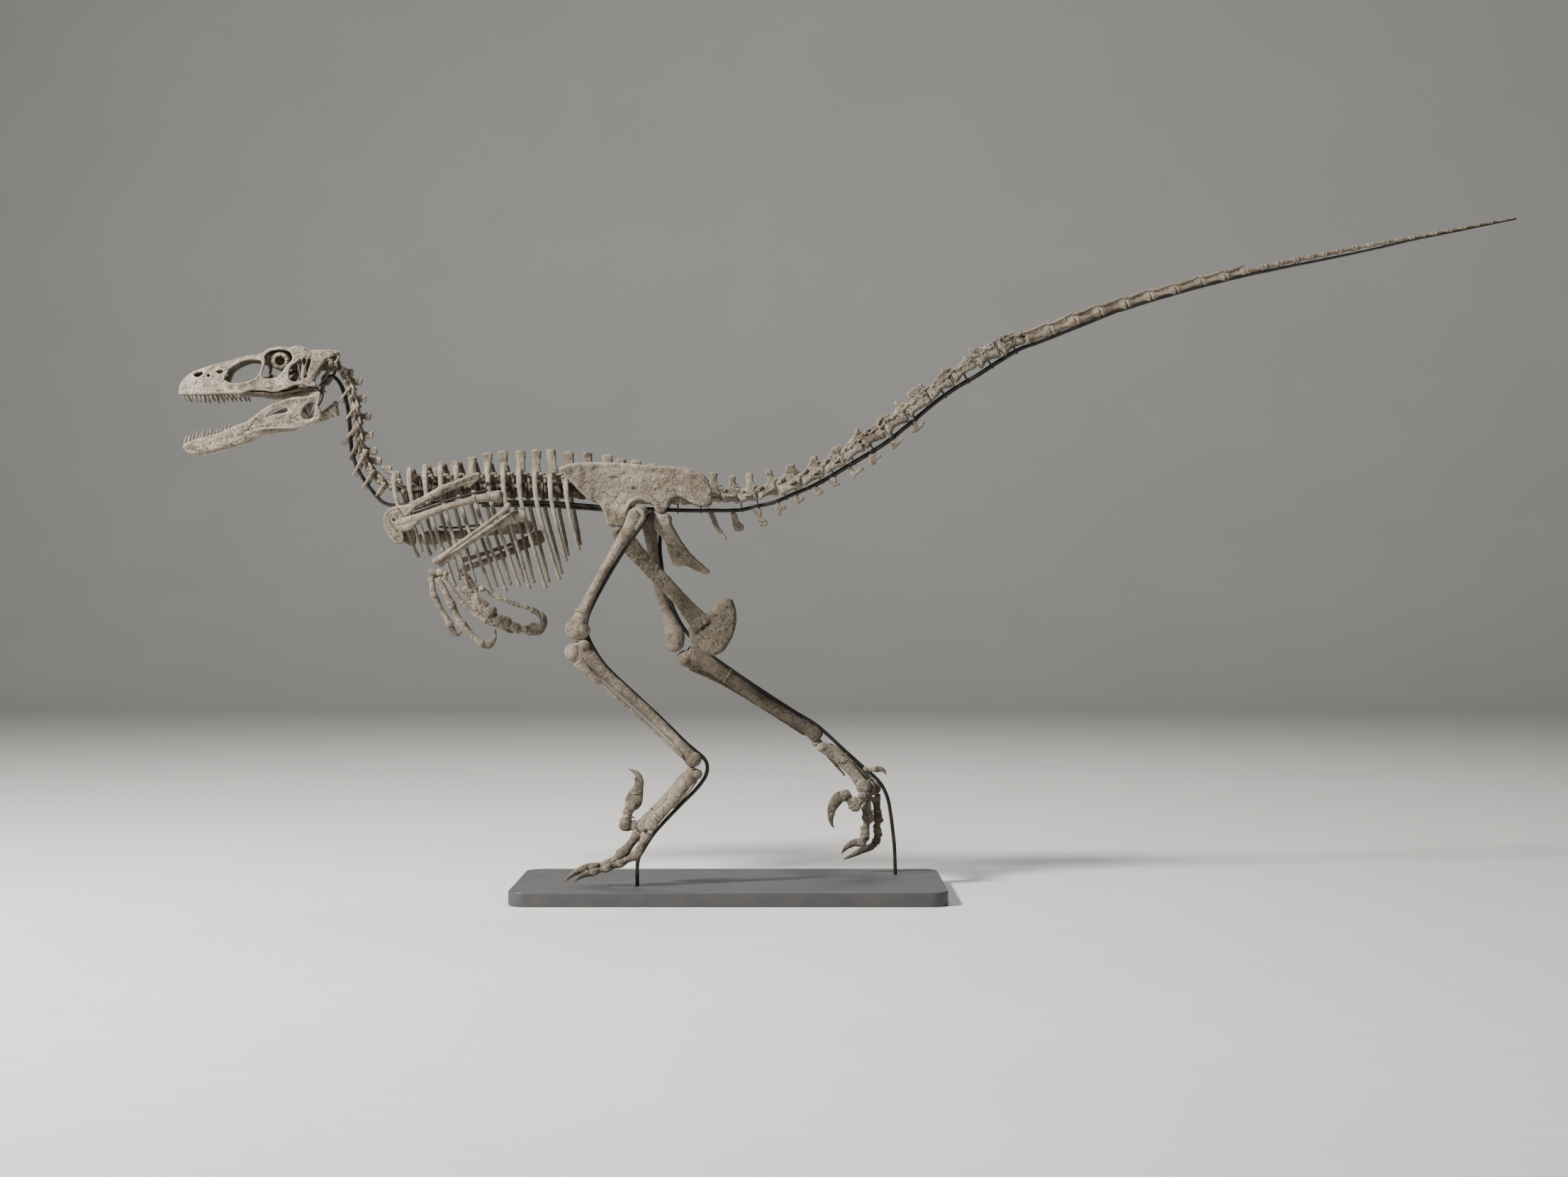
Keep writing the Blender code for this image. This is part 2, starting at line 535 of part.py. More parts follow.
def arm_left():
    y = -124
    long_bone("humerus_left", [(-738, y + 14, 831, 9, 6), (-724, y + 12, 833, 15, 8), (-705, y + 8, 837, 16, 7),
                               (-672, y + 4, 850, 11, 8), (-622, y, 867, 10, 9), (-565, y, 882, 10, 9),
                               (-528, y, 888, 14, 11), (-510, y, 889, 17, 13), (-500, y, 889, 12, 11)], 130)
    long_bone("radius_left", [(-488, y - 10, 870, 7, 6), (-498, y - 10, 861, 5.5, 5), (-514, y - 10, 847, 4.5, 4.5),
                              (-560, y - 10, 813, 4.5, 4.5), (-602, y - 10, 783, 4.5, 4.5),
                              (-627, y - 8, 764, 6, 5.5), (-650, y - 6, 748, 8, 7)], 60)
    long_bone("ulna_left", [(-447, y + 5, 850, 19, 8), (-460, y + 5, 850, 23, 8.5), (-480, y + 5, 845, 20, 8),
                            (-505, y + 5, 833, 14, 7), (-535, y + 4, 816, 10, 6.5), (-570, y + 4, 795, 8, 6),
                            (-605, y + 4, 768, 7.5, 6), (-640, y + 5, 742, 8, 7)], 90)
    part = Part()
    ball(part, -652, y, 725, 8)
    ball(part, -638, y, 724, 9)
    bar(part, [(-664, y + 8, 724, 6, 6), (-624, y - 4, 722, 7, 7)])
    bar(part, [(-657, y, 718, 6, 6), (-653, y, 696, 5, 5), (-653, y, 682, 6, 6)])
    bar(part, [(-643, y - 5, 718, 7, 6), (-632, y - 5, 690, 5.5, 5), (-616, y - 5, 664, 7, 6.5)])
    bar(part, [(-630, y - 12, 718, 5, 4), (-610, y - 13, 690, 3.6, 3.4), (-590, y - 13, 664, 5, 4)])
    fuse("palm_left", part, 150, voxel=1.8)
    finger("finger_1_left", [(-651, y + 2, 672, 7, 6), (-640, y + 4, 648, 5, 4.5), (-620, y + 6, 614, 6, 6)],
           [(-651, y + 2, 671, 8), (-617, y + 6, 610, 8)],
           [(-616, y + 6, 604, 9, 4), (-607, y + 7, 592, 7, 3.6), (-597, y + 8, 591, 4.5, 2.6),
            (-589, y + 9, 602, 1, 0.9)])
    finger("finger_2_left", [(-610, y - 5, 654, 6.5, 6), (-600, y - 4, 630, 6, 5.5), (-588, y - 3, 610, 7, 6),
                             (-566, y - 2, 586, 5.5, 5), (-548, y, 570, 6.5, 6)],
           [(-593, y - 3, 615, 10), (-547, y, 569, 8)],
           [(-544, y, 567, 9, 4.2), (-528, y + 1, 567, 9, 4), (-518, y + 2, 581, 5.5, 3),
            (-515, y + 3, 604, 1, 0.9)], triangles=110)
    finger("finger_3_left", [(-584, y - 15, 654, 4.5, 4), (-570, y - 16, 640, 3.6, 3.4), (-551, y - 17, 628, 4, 4),
                             (-536, y - 18, 619, 4, 3.6)],
           [(-558, y - 17, 632, 5), (-536, y - 18, 619, 4.5)],
           [(-535, y - 18, 618, 5, 2.8), (-522, y - 18, 611, 4, 2.2), (-512, y - 18, 614, 1, 0.9)], triangles=80)


def arm_right():
    y = 118
    long_bone("humerus_right", [(-716, y - 13, 806, 9, 6), (-702, y - 11, 806, 16, 8), (-678, y - 7, 808, 17, 7),
                                (-645, y - 3, 812, 11, 8), (-600, y, 817, 10, 9), (-540, y + 1, 823, 10, 9),
                                (-490, y + 2, 829, 13, 11), (-470, y + 2, 832, 16, 12), (-461, y + 2, 833, 12, 11)],
              130)
    long_bone("radius_right", [(-452, y + 10, 812, 7, 6), (-466, y + 10, 808, 5.5, 5), (-485, y + 10, 801, 4.5, 4.5),
                               (-540, y + 10, 781, 4.5, 4.5), (-600, y + 9, 761, 5.5, 5), (-622, y + 8, 755, 7, 6)],
              60)
    long_bone("ulna_right", [(-434, y - 5, 812, 14, 8), (-446, y - 5, 807, 18, 8.5), (-464, y - 5, 798, 14, 8),
                             (-490, y - 5, 784, 10, 7), (-530, y - 5, 765, 8, 6.5), (-575, y - 4, 749, 7, 6),
                             (-612, y - 3, 736, 8, 7)], 90)
    part = Part()
    ball(part, -622, y, 725, 9)
    ball(part, -610, y, 715, 9)
    bar(part, [(-630, y - 6, 728, 5, 6), (-602, y + 5, 708, 6, 7)])
    bar(part, [(-616, y - 5, 716, 6, 6), (-600, y - 8, 702, 5, 5), (-588, y - 10, 693, 5.5, 5.5)])
    bar(part, [(-616, y, 712, 9, 8), (-592, y, 683, 9, 8), (-566, y, 655, 10, 8)])
    bar(part, [(-610, y + 9, 704, 6, 5), (-598, y + 11, 672, 6, 5), (-580, y + 12, 646, 7, 6)])
    fuse("palm_right", part, 150, voxel=1.8)
    finger("finger_1_right", [(-580, y - 11, 689, 6, 5.5), (-545, y - 12, 675, 5, 4.5), (-505, y - 13, 659, 6, 5),
                              (-464, y - 13, 646, 7, 6)],
           [(-455, y - 13, 642, 9), (-446, y - 13, 648, 5)],
           [(-456, y - 13, 640, 7, 4), (-444, y - 13, 632, 6, 3.4), (-437, y - 13, 621, 3.4, 2.4),
            (-438, y - 13, 611, 1, 0.9)])
    finger("finger_2_right", [(-557, y, 646, 11, 8), (-536, y, 625, 11, 8), (-512, y, 607, 10, 7.5),
                              (-496, y, 600, 8, 6.5), (-482, y, 595, 5, 5), (-468, y, 589, 7, 6)],
           [(-464, y, 588, 10)],
           [(-462, y, 597, 15, 5), (-444, y, 598, 15, 4.6), (-432, y, 610, 8, 3.6), (-430, y, 624, 4.5, 2.6),
            (-438, y, 639, 1, 0.9)], triangles=120)
    finger("finger_3_right", [(-573, y + 12, 637, 6, 5), (-556, y + 12, 616, 5, 4.5), (-540, y + 12, 604, 5, 4.5),
                              (-523, y + 12, 596, 4, 4)],
           [(-543, y + 12, 606, 6), (-522, y + 12, 596, 5)],
           [(-520, y + 12, 595, 5, 2.8), (-508, y + 12, 590, 4, 2.2), (-499, y + 12, 592, 1, 0.9)], triangles=80)


# ---------------------------------------------------------------- hips


def ilium(side, name):
    """The blade is a tall thin bar, cut off below by the hip socket."""
    part = Part()
    y = side * 56
    bar(part, [(-379, y * 1.25, 951, 7, 3), (-366, y * 1.2, 949, 19, 4), (-340, y * 1.12, 939, 33, 4.5),
               (-300, y * 1.03, 931, 41, 5), (-250, y, 929, 43, 5.5), (-200, y, 928, 40, 6),
               (-150, y, 929, 38, 5.5), (-100, y * 1.02, 927, 34, 5), (-65, y * 1.05, 915, 32, 4.5),
               (-48, y * 1.06, 902, 18, 4)])
    bar(part, [(-262, y, 905, 24, 9), (-256, y, 870, 22, 10), (-253, y, 842, 18, 10)])
    bar(part, [(-150, y, 905, 16, 9), (-150, y, 884, 14, 10), (-151, y, 869, 9, 9)])
    bar(part, [(-250, y, 893, 10, 9), (-197, y, 897, 9, 11), (-150, y, 893, 10, 9)])
    return fuse(name, part, 260, voxel=2.6)


def pubis():
    """The two shafts run down and back, and meet in one deep boot."""
    part = Part()
    for side in (NEAR, FAR):
        bar(part, [(-252, side * 55, 822, 15, 8), (-236, side * 48, 799, 19, 6), (-211, side * 36, 770, 18, 5.5),
                   (-184, side * 22, 741, 17, 5.5), (-154, side * 11, 709, 16, 6), (-117, side * 6, 670, 16, 7),
                   (-86, side * 5, 634, 19, 8), (-62, side * 4, 606, 26, 9)])
    bar(part, [(-60, 0, 534, 8, 7), (-50, 0, 556, 36, 11), (-40, 0, 584, 48, 13), (-33, 0, 610, 48, 13),
               (-17, 0, 640, 32, 11), (-5, 0, 658, 14, 8), (-3, 0, 667, 7, 6)], across=(0, 1, 0))
    return fuse("pubis", part, 280, voxel=2.6)


def ischium(side, name):
    part = Part()
    y = side * 52
    bar(part, [(-163, y * 1.02, 846, 20, 8), (-150, y, 822, 17, 6), (-130, y * 0.75, 786, 20, 4.5),
               (-106, y * 0.5, 762, 24, 4), (-80, y * 0.3, 744, 12, 4), (-50, y * 0.16, 727, 4, 3)])
    return fuse(name, part, 110, voxel=2.2)


# ---------------------------------------------------------------- legs


def leg_left():
    long_bone("femur_left", [(-216, -80, 858, 16, 12), (-206, -92, 848, 23, 13), (-222, -98, 818, 17, 13),
                             (-246, -100, 782, 13, 12), (-280, -101, 725, 11.5, 12), (-306, -102, 675, 11.5, 12),
                             (-325, -103, 635, 15, 15), (-335, -104, 607, 22, 18), (-337, -104, 592, 21, 18)], 180,
              knobs=[(-196, -68, 862, 15), (-341, -104, 600, 24), (-334, -104, 596, 22)])
    long_bone("tibia_left", [(-346, -104, 554, 18, 14), (-330, -104, 545, 28, 17), (-312, -105, 534, 22, 14),
                             (-280, -106, 505, 15, 11), (-240, -107, 471, 13, 11), (-190, -108, 426, 12.5, 11),
                             (-140, -109, 378, 12, 11), (-108, -109, 345, 11.5, 13), (-90, -110, 322, 16, 17),
                             (-80, -110, 306, 15, 16)], 170,
              knobs=[(-344, -104, 544, 21), (-318, -104, 560, 15), (-78, -110, 312, 17)])
    long_bone("fibula_left", [(-330, -126, 520, 11, 4), (-300, -126, 492, 7, 4), (-255, -126, 453, 4.5, 3.6),
                              (-200, -125, 404, 3.6, 3.4), (-150, -125, 358, 3.6, 3.4),
                              (-105, -126, 317, 4.5, 4)], 60)
    part = Part()
    ball(part, -74, -110, 279, 12, 1.3)
    for offset, wide in ((-13, 6), (0, 6.5), (13, 6)):
        bar(part, [(-84, -110 + offset * 0.8, 283, 13, wide), (-105, -110 + offset * 0.8, 262, 12, wide),
                   (-140, -111 + offset, 222, 11.5, wide), (-172, -111 + offset * 1.2, 182, 12, wide),
                   (-186, -111 + offset * 1.5, 164, 12, wide + 1)])
    bar(part, [(-72, -118, 268, 5, 3), (-92, -122, 240, 4, 3), (-124, -124, 205, 3, 2.6)])
    fuse("metatarsus_left", part, 210, voxel=2.2)
    toe("toe_1_left", [(-150, -84, 196, 4, 3.5), (-160, -80, 178, 4, 3.5), (-168, -77, 164, 5, 4)], [(-168, -77, 163, 6)],
        [(-170, -77, 160, 6, 3.4), (-181, -75, 152, 5, 3), (-190, -74, 139, 1, 0.9)], 70)
    toe("toe_2_left", [(-206, -90, 165, 10, 7), (-230, -90, 166, 9, 6.5), (-229, -90, 182, 9, 6.5),
                       (-218, -90, 208, 9, 6.5)], [(-232, -90, 164, 12), (-219, -90, 210, 11)],
        [(-214, -90, 212, 20, 6), (-208, -90, 228, 18, 5.5), (-202, -90, 246, 12, 4.5), (-200, -90, 264, 10, 4),
         (-206, -90, 280, 6, 3), (-225, -90, 290, 1, 0.9)], 150)
    toe("toe_3_left", [(-201, -111, 150, 9, 8), (-214, -112, 128, 8, 7), (-233, -112, 107, 9, 8),
                       (-252, -113, 88, 7, 6.5), (-270, -113, 77, 8, 7), (-298, -113, 73, 7, 6.5)],
        [(-235, -112, 105, 11), (-270, -113, 77, 9.5), (-298, -113, 73, 9)],
        [(-303, -113, 74, 11, 6), (-322, -113, 70, 9, 5), (-345, -113, 59, 6, 3.6), (-366, -113, 40, 1, 0.9)], 130)
    toe("toe_4_left", [(-183, -134, 148, 8, 7), (-193, -136, 126, 6.5, 6), (-204, -137, 103, 7.5, 6.5),
                       (-238, -138, 85, 6, 5.5), (-268, -138, 75, 6.5, 5.5), (-296, -138, 66, 6, 5)],
        [(-205, -137, 101, 9), (-239, -138, 84, 8), (-268, -138, 75, 7.5), (-296, -138, 66, 7)],
        [(-298, -138, 66, 9, 4.5), (-314, -138, 62, 7, 4), (-330, -138, 54, 4.5, 3), (-342, -138, 43, 1, 0.9)], 130)


def toe(name, rows, joints, claw_rows, triangles):
    part = Part()
    bar(part, rows, sides=8, steps=2)
    for x, y, z, r in joints:
        ball(part, x, y, z, r, 0.8)
    claw(part, claw_rows)
    return fuse(name, part, triangles, voxel=1.8)


def leg_right():
    long_bone("femur_right", [(-207, 80, 862, 15, 12), (-190, 86, 848, 22, 13), (-184, 88, 815, 16, 13),
                              (-178, 88, 770, 13, 12), (-167, 88, 700, 11.5, 12), (-152, 88, 650, 12, 12),
                              (-138, 87, 612, 17, 15), (-128, 86, 585, 24, 18), (-125, 86, 568, 24, 18)], 140,
              knobs=[(-196, 68, 862, 15)])
    long_bone("tibia_right", [(-98, 86, 536, 24, 16), (-84, 87, 530, 27, 17), (-60, 89, 521, 20, 14),
                               (-20, 92, 499, 16, 12), (50, 97, 454, 14, 11), (120, 103, 409, 13, 11),
                               (170, 109, 374, 13, 12), (190, 111, 358, 17, 16), (199, 112, 347, 16, 16)], 140)
    long_bone("fibula_right", [(-92, 109, 508, 10, 4), (-60, 109, 492, 7, 4), (-10, 111, 464, 4.5, 3.6),
                               (60, 117, 422, 3.6, 3.4), (120, 122, 384, 3.6, 3.4), (166, 129, 353, 4.5, 4)], 60)
    part = Part()
    ball(part, 212, 115, 324, 12, 1.3)
    for offset, wide in ((-13, 6), (0, 6.5), (13, 6)):
        bar(part, [(216, 116 + offset * 0.8, 325, 13, wide), (240, 117 + offset * 0.8, 307, 13, wide),
                   (272, 118 + offset, 275, 12.5, wide), (300, 119 + offset * 1.2, 245, 13, wide),
                   (313, 120 + offset * 1.5, 230, 14, wide + 1)])
    bar(part, [(222, 134, 306, 5, 3), (240, 137, 284, 4, 3), (262, 138, 258, 3, 2.6)])
    fuse("metatarsus_right", part, 210, voxel=2.2)
    toe("toe_1_right", [(303, 86, 276, 4.5, 4), (316, 85, 277, 4, 3.5), (329, 84, 276, 5, 4)], [(329, 84, 276, 7)],
        [(333, 84, 276, 8, 4), (344, 84, 276, 6, 3.4), (352, 84, 271, 3.4, 2.4), (356, 84, 263, 1, 0.9)], 80)
    toe("toe_2_right", [(303, 97, 214, 9, 7), (292, 96, 196, 8, 6.5), (276, 96, 190, 8, 6.5), (268, 96, 206, 8, 6.5),
                        (262, 96, 218, 8, 6.5)], [(285, 96, 190, 11), (262, 96, 217, 10)],
        [(258, 96, 214, 12, 6), (245, 96, 207, 14, 5.5), (232, 96, 186, 11, 4.5), (229, 96, 165, 7, 3.6),
         (231, 96, 150, 4, 2.6), (237, 96, 140, 1, 0.9)], 150)
    toe("toe_3_right", [(311, 120, 214, 9, 8), (311, 120, 190, 8, 7), (314, 120, 168, 9, 8), (313, 120, 146, 7, 6.5),
                        (308, 120, 122, 8, 7), (302, 120, 108, 7, 6.5)],
        [(315, 120, 167, 11), (309, 120, 125, 9.5), (302, 120, 105, 9)],
        [(300, 120, 104, 10, 6), (284, 120, 104, 9, 5), (266, 120, 94, 6, 3.6), (253, 120, 78, 1, 0.9)], 130)
    toe("toe_4_right", [(334, 142, 206, 8, 7), (336, 143, 182, 6.5, 6), (339, 144, 160, 7.5, 6.5),
                        (338, 145, 132, 6, 5.5), (338, 145, 110, 6.5, 5.5), (326, 145, 94, 6, 5)],
        [(339, 144, 158, 9), (338, 145, 131, 8), (338, 145, 108, 7.5), (324, 145, 92, 7)],
        [(320, 145, 91, 9, 4.5), (302, 145, 84, 8, 4), (278, 145, 72, 5, 3), (258, 145, 62, 1, 0.9)], 130)


# ---------------------------------------------------------------- stand


def base():
    """A flat board with rounded corners."""
    half_x, half_y, arc = BASE_LENGTH / 2 - BASE_ROUND, BASE_WIDTH / 2 - BASE_ROUND, 6
    outline = []
    for corner, (sx, sy) in enumerate(((1, 1), (-1, 1), (-1, -1), (1, -1))):
        for i in range(arc + 1):
            a = (corner + i / arc) * math.pi / 2
            outline.append((sx * half_x + BASE_ROUND * math.cos(a), sy * half_y + BASE_ROUND * math.sin(a)))
    n = len(outline)
    points = [(x, y, z) for z in (0.0, BASE_TOP) for x, y in outline]
    faces = [tuple(reversed(range(n))), tuple(range(n, 2 * n))]
    faces += [(i, (i + 1) % n, n + (i + 1) % n, n + i) for i in range(n)]
    return link("stand_base", points, faces, BOARD)


def stand():
    base()
    # one bent bar carries the neck, the back and the tail
    rod("stand_backbone", [(-893, 0, 1164), (-889, 0, 1150), (-881, 0, 1132), (-873, 0, 1112), (-865, 0, 1090),
                           (-860, 0, 1066), (-857, 0, 1040), (-855, 0, 1015), (-850, 0, 989), (-842, 0, 964),
                           (-831, 0, 940), (-816, 0, 917), (-799, 0, 896), (-780, 0, 881), (-755, 0, 879),
                           (-700, 0, 881), (-600, 0, 884), (-500, 0, 885), (-400, 0, 883), (-300, 0, 875),
                           (-200, 0, 870), (-100, 0, 868), (-40, 0, 868.5), (20, 0, 867.5), (62, 0, 870.5),
                           (110, 0, 880.5), (155, 0, 894.5), (200, 0, 912.5), (245, 0, 939.5), (290, 0, 968.5),
                           (335, 0, 998.5), (380, 0, 1032.5), (420, 0, 1062), (462, 0, 1094), (507, 0, 1128),
                           (556, 0, 1162), (600, 0, 1191), (650, 0, 1221), (700, 0, 1241), (760, 0, 1264),
                           (820, 0, 1288), (880, 0, 1312), (950, 0, 1333), (1050, 0, 1361), (1150, 0, 1386),
                           (1250, 0, 1407), (1350, 0, 1426), (1450, 0, 1448), (1550, 0, 1471), (1650, 0, 1491),
                           (1776, 0, 1518)], 4.2)
    foot = BASE_TOP + 0.4
    # the leg rods run behind the bones, down to the board
    rod("stand_leg_left", [(-168, -84, 862), (-182, -96, 836), (-201, -101, 806), (-228, -101, 770),
                           (-262, -102, 715), (-288, -103, 664), (-303, -104, 620), (-303, -105, 588),
                           (-288, -106, 559), (-262, -107, 524), (-224, -108, 488), (-174, -109, 442),
                           (-125, -110, 395), (-93, -110, 361), (-70, -110, 340), (-50, -110, 318),
                           (-42, -110, 297), (-47, -110, 272), (-68, -110, 244), (-98, -110, 213),
                           (-130, -110, 180), (-160, -110, 149), (-186, -110, 114), (-202, -110, 86),
                           (-203, -110, foot)], 4.2)
    rod("stand_leg_right", [(-160, 86, 848), (-162, 88, 818), (-157, 88, 772), (-146, 88, 702), (-130, 88, 654),
                            (-112, 88, 618), (-92, 88, 590), (-68, 89, 570), (-38, 90, 548), (0, 92, 525),
                            (52, 97, 490), (102, 102, 455), (152, 108, 422), (196, 110, 392), (230, 111, 360),
                            (262, 112, 327), (302, 112, 288), (342, 112, 248), (360, 112, 212), (367, 112, 172),
                            (372, 112, 132), (376, 112, 92), (378, 112, foot)], 4.5)
    rod("stand_arm_left", [(-700, -117, 858), (-670, -122, 867), (-622, -125, 884), (-572, -125, 898),
                           (-532, -125, 908)], 2.6)
    rod("stand_arm_right", [(-672, 113, 832), (-640, 116, 830), (-600, 118, 834), (-540, 119, 840),
                            (-496, 120, 848)], 2.6)


def build():
    clear_scene()
    skull()
    mandible(NEAR, "mandible_left")
    mandible(FAR, "mandible_right")
    eye_ring(NEAR, "eye_ring_left")
    eye_ring(FAR, "eye_ring_right")
    neck("neck_upper", 0, 5, 400)
    neck("neck_lower", 5, 10, 430)
    trunk(NEAR, "trunk_left")
    trunk(FAR, "trunk_right")
    sacrum()
    for number, (first, last, triangles, voxel) in enumerate(
        [(0, 5, 480, 2.4), (5, 11, 480, 2.4), (11, 16, 300, 2.2), (16, 22, 260, 1.8), (22, 29, 240, 1.6),
         (29, 44, 200, 1.4)], 1):
        tail(f"tail_{number}", first, last, triangles, voxel)
    shoulder(NEAR, "scapula_left")
    shoulder(FAR, "scapula_right")
    arm_left()
    arm_right()
    ilium(NEAR, "ilium_left")
    ilium(FAR, "ilium_right")
    pubis()
    ischium(NEAR, "ischium_left")
    ischium(FAR, "ischium_right")
    leg_left()
    leg_right()
    stand()


build()
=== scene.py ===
import bpy
import math
import numpy as np
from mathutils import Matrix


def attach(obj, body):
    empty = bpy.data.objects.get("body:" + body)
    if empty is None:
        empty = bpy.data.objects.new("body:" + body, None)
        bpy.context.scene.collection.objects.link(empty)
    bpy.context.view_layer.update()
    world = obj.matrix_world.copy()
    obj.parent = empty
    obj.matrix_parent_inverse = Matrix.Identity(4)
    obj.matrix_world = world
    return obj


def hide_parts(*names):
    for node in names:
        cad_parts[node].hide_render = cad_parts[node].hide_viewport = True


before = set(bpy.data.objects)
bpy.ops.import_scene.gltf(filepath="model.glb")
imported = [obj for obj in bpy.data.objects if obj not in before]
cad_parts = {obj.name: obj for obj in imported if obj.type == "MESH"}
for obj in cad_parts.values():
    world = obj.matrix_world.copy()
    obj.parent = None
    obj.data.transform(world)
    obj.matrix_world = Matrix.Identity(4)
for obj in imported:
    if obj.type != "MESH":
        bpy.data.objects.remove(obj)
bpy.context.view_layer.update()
print("frame loaded:", len(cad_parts), "nodes")

mm = 0.001
meshStep = 1.13  # scales the spacing of voxel skins and sheets; smaller is finer
near, far = -1, 1
noTriangles = np.zeros((0, 3), int)


def catmullRom(a, b, c, d, t):
    # the cubic from b to c that also heads for their neighbours a and d
    return 0.5 * (2 * b + (c - a) * t + (2 * a - 5 * b + 4 * c - d) * t**2 + (3 * b - a - 3 * c + d) * t**3)


def smoothRows(rows, spacing):
    # a smooth path through the rows, whose sizes never fall below 0.6 of the smallest given
    rows = np.array(rows, float)
    length = np.linalg.norm(np.diff(rows[:, :3], axis=0), axis=1).sum()
    steps = max(2, int(math.ceil(length / (spacing * (len(rows) - 1)))))
    t = (np.arange(steps) / steps)[None, :, None]
    if len(rows) < 3:
        return np.vstack([rows[0] + (rows[1] - rows[0]) * t[0], rows[-1:]])
    padded = np.vstack([2 * rows[0] - rows[1], rows, 2 * rows[-1] - rows[-2]])
    out = catmullRom(*(padded[i:len(padded) - 3 + i, None] for i in range(4)), t)
    out = np.vstack([out.reshape(-1, rows.shape[1]), rows[-1:]])
    out[:, 3:] = np.maximum(out[:, 3:], rows[:, 3:].min(axis=0) * 0.6)
    return out


class Clay:
    # closed shells of one bone, in millimetres, before they are joined into one skin
    def __init__(self):
        self.points, self.quads, self.tris, self.count = [], [], [], 0

    def add(self, points, quads, tris):
        self.points.append(points)
        self.quads.append(quads + self.count)
        self.tris.append(tris + self.count)
        self.count += len(points)

    def placed(self, x, z, angle=0.0, y=0.0):
        # every point turned by the angle about the Y axis, nose down for a positive one, then moved
        points = np.vstack(self.points)
        turned = np.column_stack([points[:, 0] * math.cos(angle) - points[:, 2] * math.sin(angle) + x,
                                  points[:, 1] + y,
                                  points[:, 0] * math.sin(angle) + points[:, 2] * math.cos(angle) + z])
        self.points, self.quads, self.tris = [turned], [np.vstack(self.quads)], [np.vstack(self.tris)]
        return self


def ringQuads(rings, sides, closed=False):
    # quads between neighbouring rings, and from the last ring to the first where they close
    i, j = np.arange(rings if closed else rings - 1)[:, None] * sides, np.arange(sides)[None, :]
    n, k = (i + sides) % (rings * sides), (j + 1) % sides
    return np.stack([i + j, n + j, n + k, i + k], axis=-1).reshape(-1, 4)


def tubeFaces(rings, sides):
    # the quads of a tube, and a fan from a pole to its first and to its last ring
    j = np.arange(sides)
    k, top = (j + 1) % sides, (rings - 1) * sides
    first, last = np.full(sides, rings * sides), np.full(sides, rings * sides + 1)
    return (ringQuads(rings, sides),
            np.vstack([np.column_stack([first, j, k]), np.column_stack([last, top + k, top + j])]))


def bar(clay, rows, across=(0, 1, 0), sides=16, spacing=3.0, power=2.0, dome=0.35):
    # a superellipse |u/h|^p + |v/w|^p = 1 carried along the smooth path of rows (x, y, z, h, w);
    # w lies along `across`, and each end closes over a short dome
    rows = smoothRows(rows, spacing)
    path, size = rows[:, :3], rows[:, 3:5]
    tangent = np.gradient(path, axis=0)
    tangent /= np.linalg.norm(tangent, axis=1)[:, None] + 1e-9
    side = np.array(across, float)
    wide = side - tangent * (tangent @ side)[:, None]
    wide /= np.linalg.norm(wide, axis=1)[:, None] + 1e-9
    high = np.cross(tangent, wide)
    lift = np.array([0.35, 0.7, 0.93])
    for end, sign in ((0, -1), (-1, 1)):
        out = path[end] + sign * tangent[end] * (lift * dome * size[end].min())[:, None]
        shrink = size[end] * np.sqrt(1 - lift**2)[:, None]
        order = slice(None, None, sign)
        parts = [(out[order], path), (shrink[order], size)] + [
            (np.repeat(whole[end][None], 3, axis=0), whole) for whole in (tangent, wide, high)]
        path, size, tangent, wide, high = (
            np.vstack([extra, whole] if end == 0 else [whole, extra]) for extra, whole in parts)
    turn = np.arange(sides) * 2 * math.pi / sides
    c, s = np.cos(turn), np.sin(turn)
    c, s = np.sign(c) * np.abs(c)**(2 / power), np.sign(s) * np.abs(s)**(2 / power)
    ring = (path[:, None] + high[:, None] * (size[:, :1] * c)[:, :, None]
            + wide[:, None] * (size[:, 1:] * s)[:, :, None]).reshape(-1, 3)
    poles = path[[0, -1]] + tangent[[0, -1]] * np.array([[-1], [1]]) * dome * 0.07 * size[[0, -1]].min()
    clay.add(np.vstack([ring, poles]), *tubeFaces(len(path), sides))


def both(clay, rows, **options):
    # the same bar on both sides of the mid-plane
    bar(clay, rows, **options)
    bar(clay, [(x, -y, z, h, w) for x, y, z, h, w in rows], **options)


def ball(clay, x, y, z, r, flat=1.0, long=1.0):
    # an ellipsoid: `flat` times as wide along Y and `long` times as long along X as it is high
    turn = np.linspace(math.pi, 0, 11)[1:-1]
    bar(clay, np.column_stack([x + r * long * np.cos(turn), np.full(9, y), np.full(9, z),
                               r * np.sin(turn), r * flat * np.sin(turn)]), dome=0.2)


def valueNoise(points, size, seed):
    # random numbers on the corners of a cubic lattice of `size` mm, blended by a quintic step; the
    # numbers come from the corner's place, mixed with large primes
    place = points / size + 31.7 * seed
    base = np.floor(place).astype(np.int64)
    f = place - base
    f = f**3 * (f * (f * 6 - 15) + 10)
    total, highest = np.zeros(len(points)), 0x7FFFFFFF
    for corner in range(8):
        step = np.array([corner & 1, corner >> 1 & 1, corner >> 2])
        i = base + step
        h = (i[:, 0] * 73856093) ^ (i[:, 1] * 19349663) ^ (i[:, 2] * 83492791) ^ (seed * 7919)
        h = (h * 1103515245 + 12345) & highest
        h = (((h >> 13) ^ h) * 1274126177) & highest
        total += np.where(step, f, 1 - f).prod(axis=1) * h
    return total / highest * 2 - 1


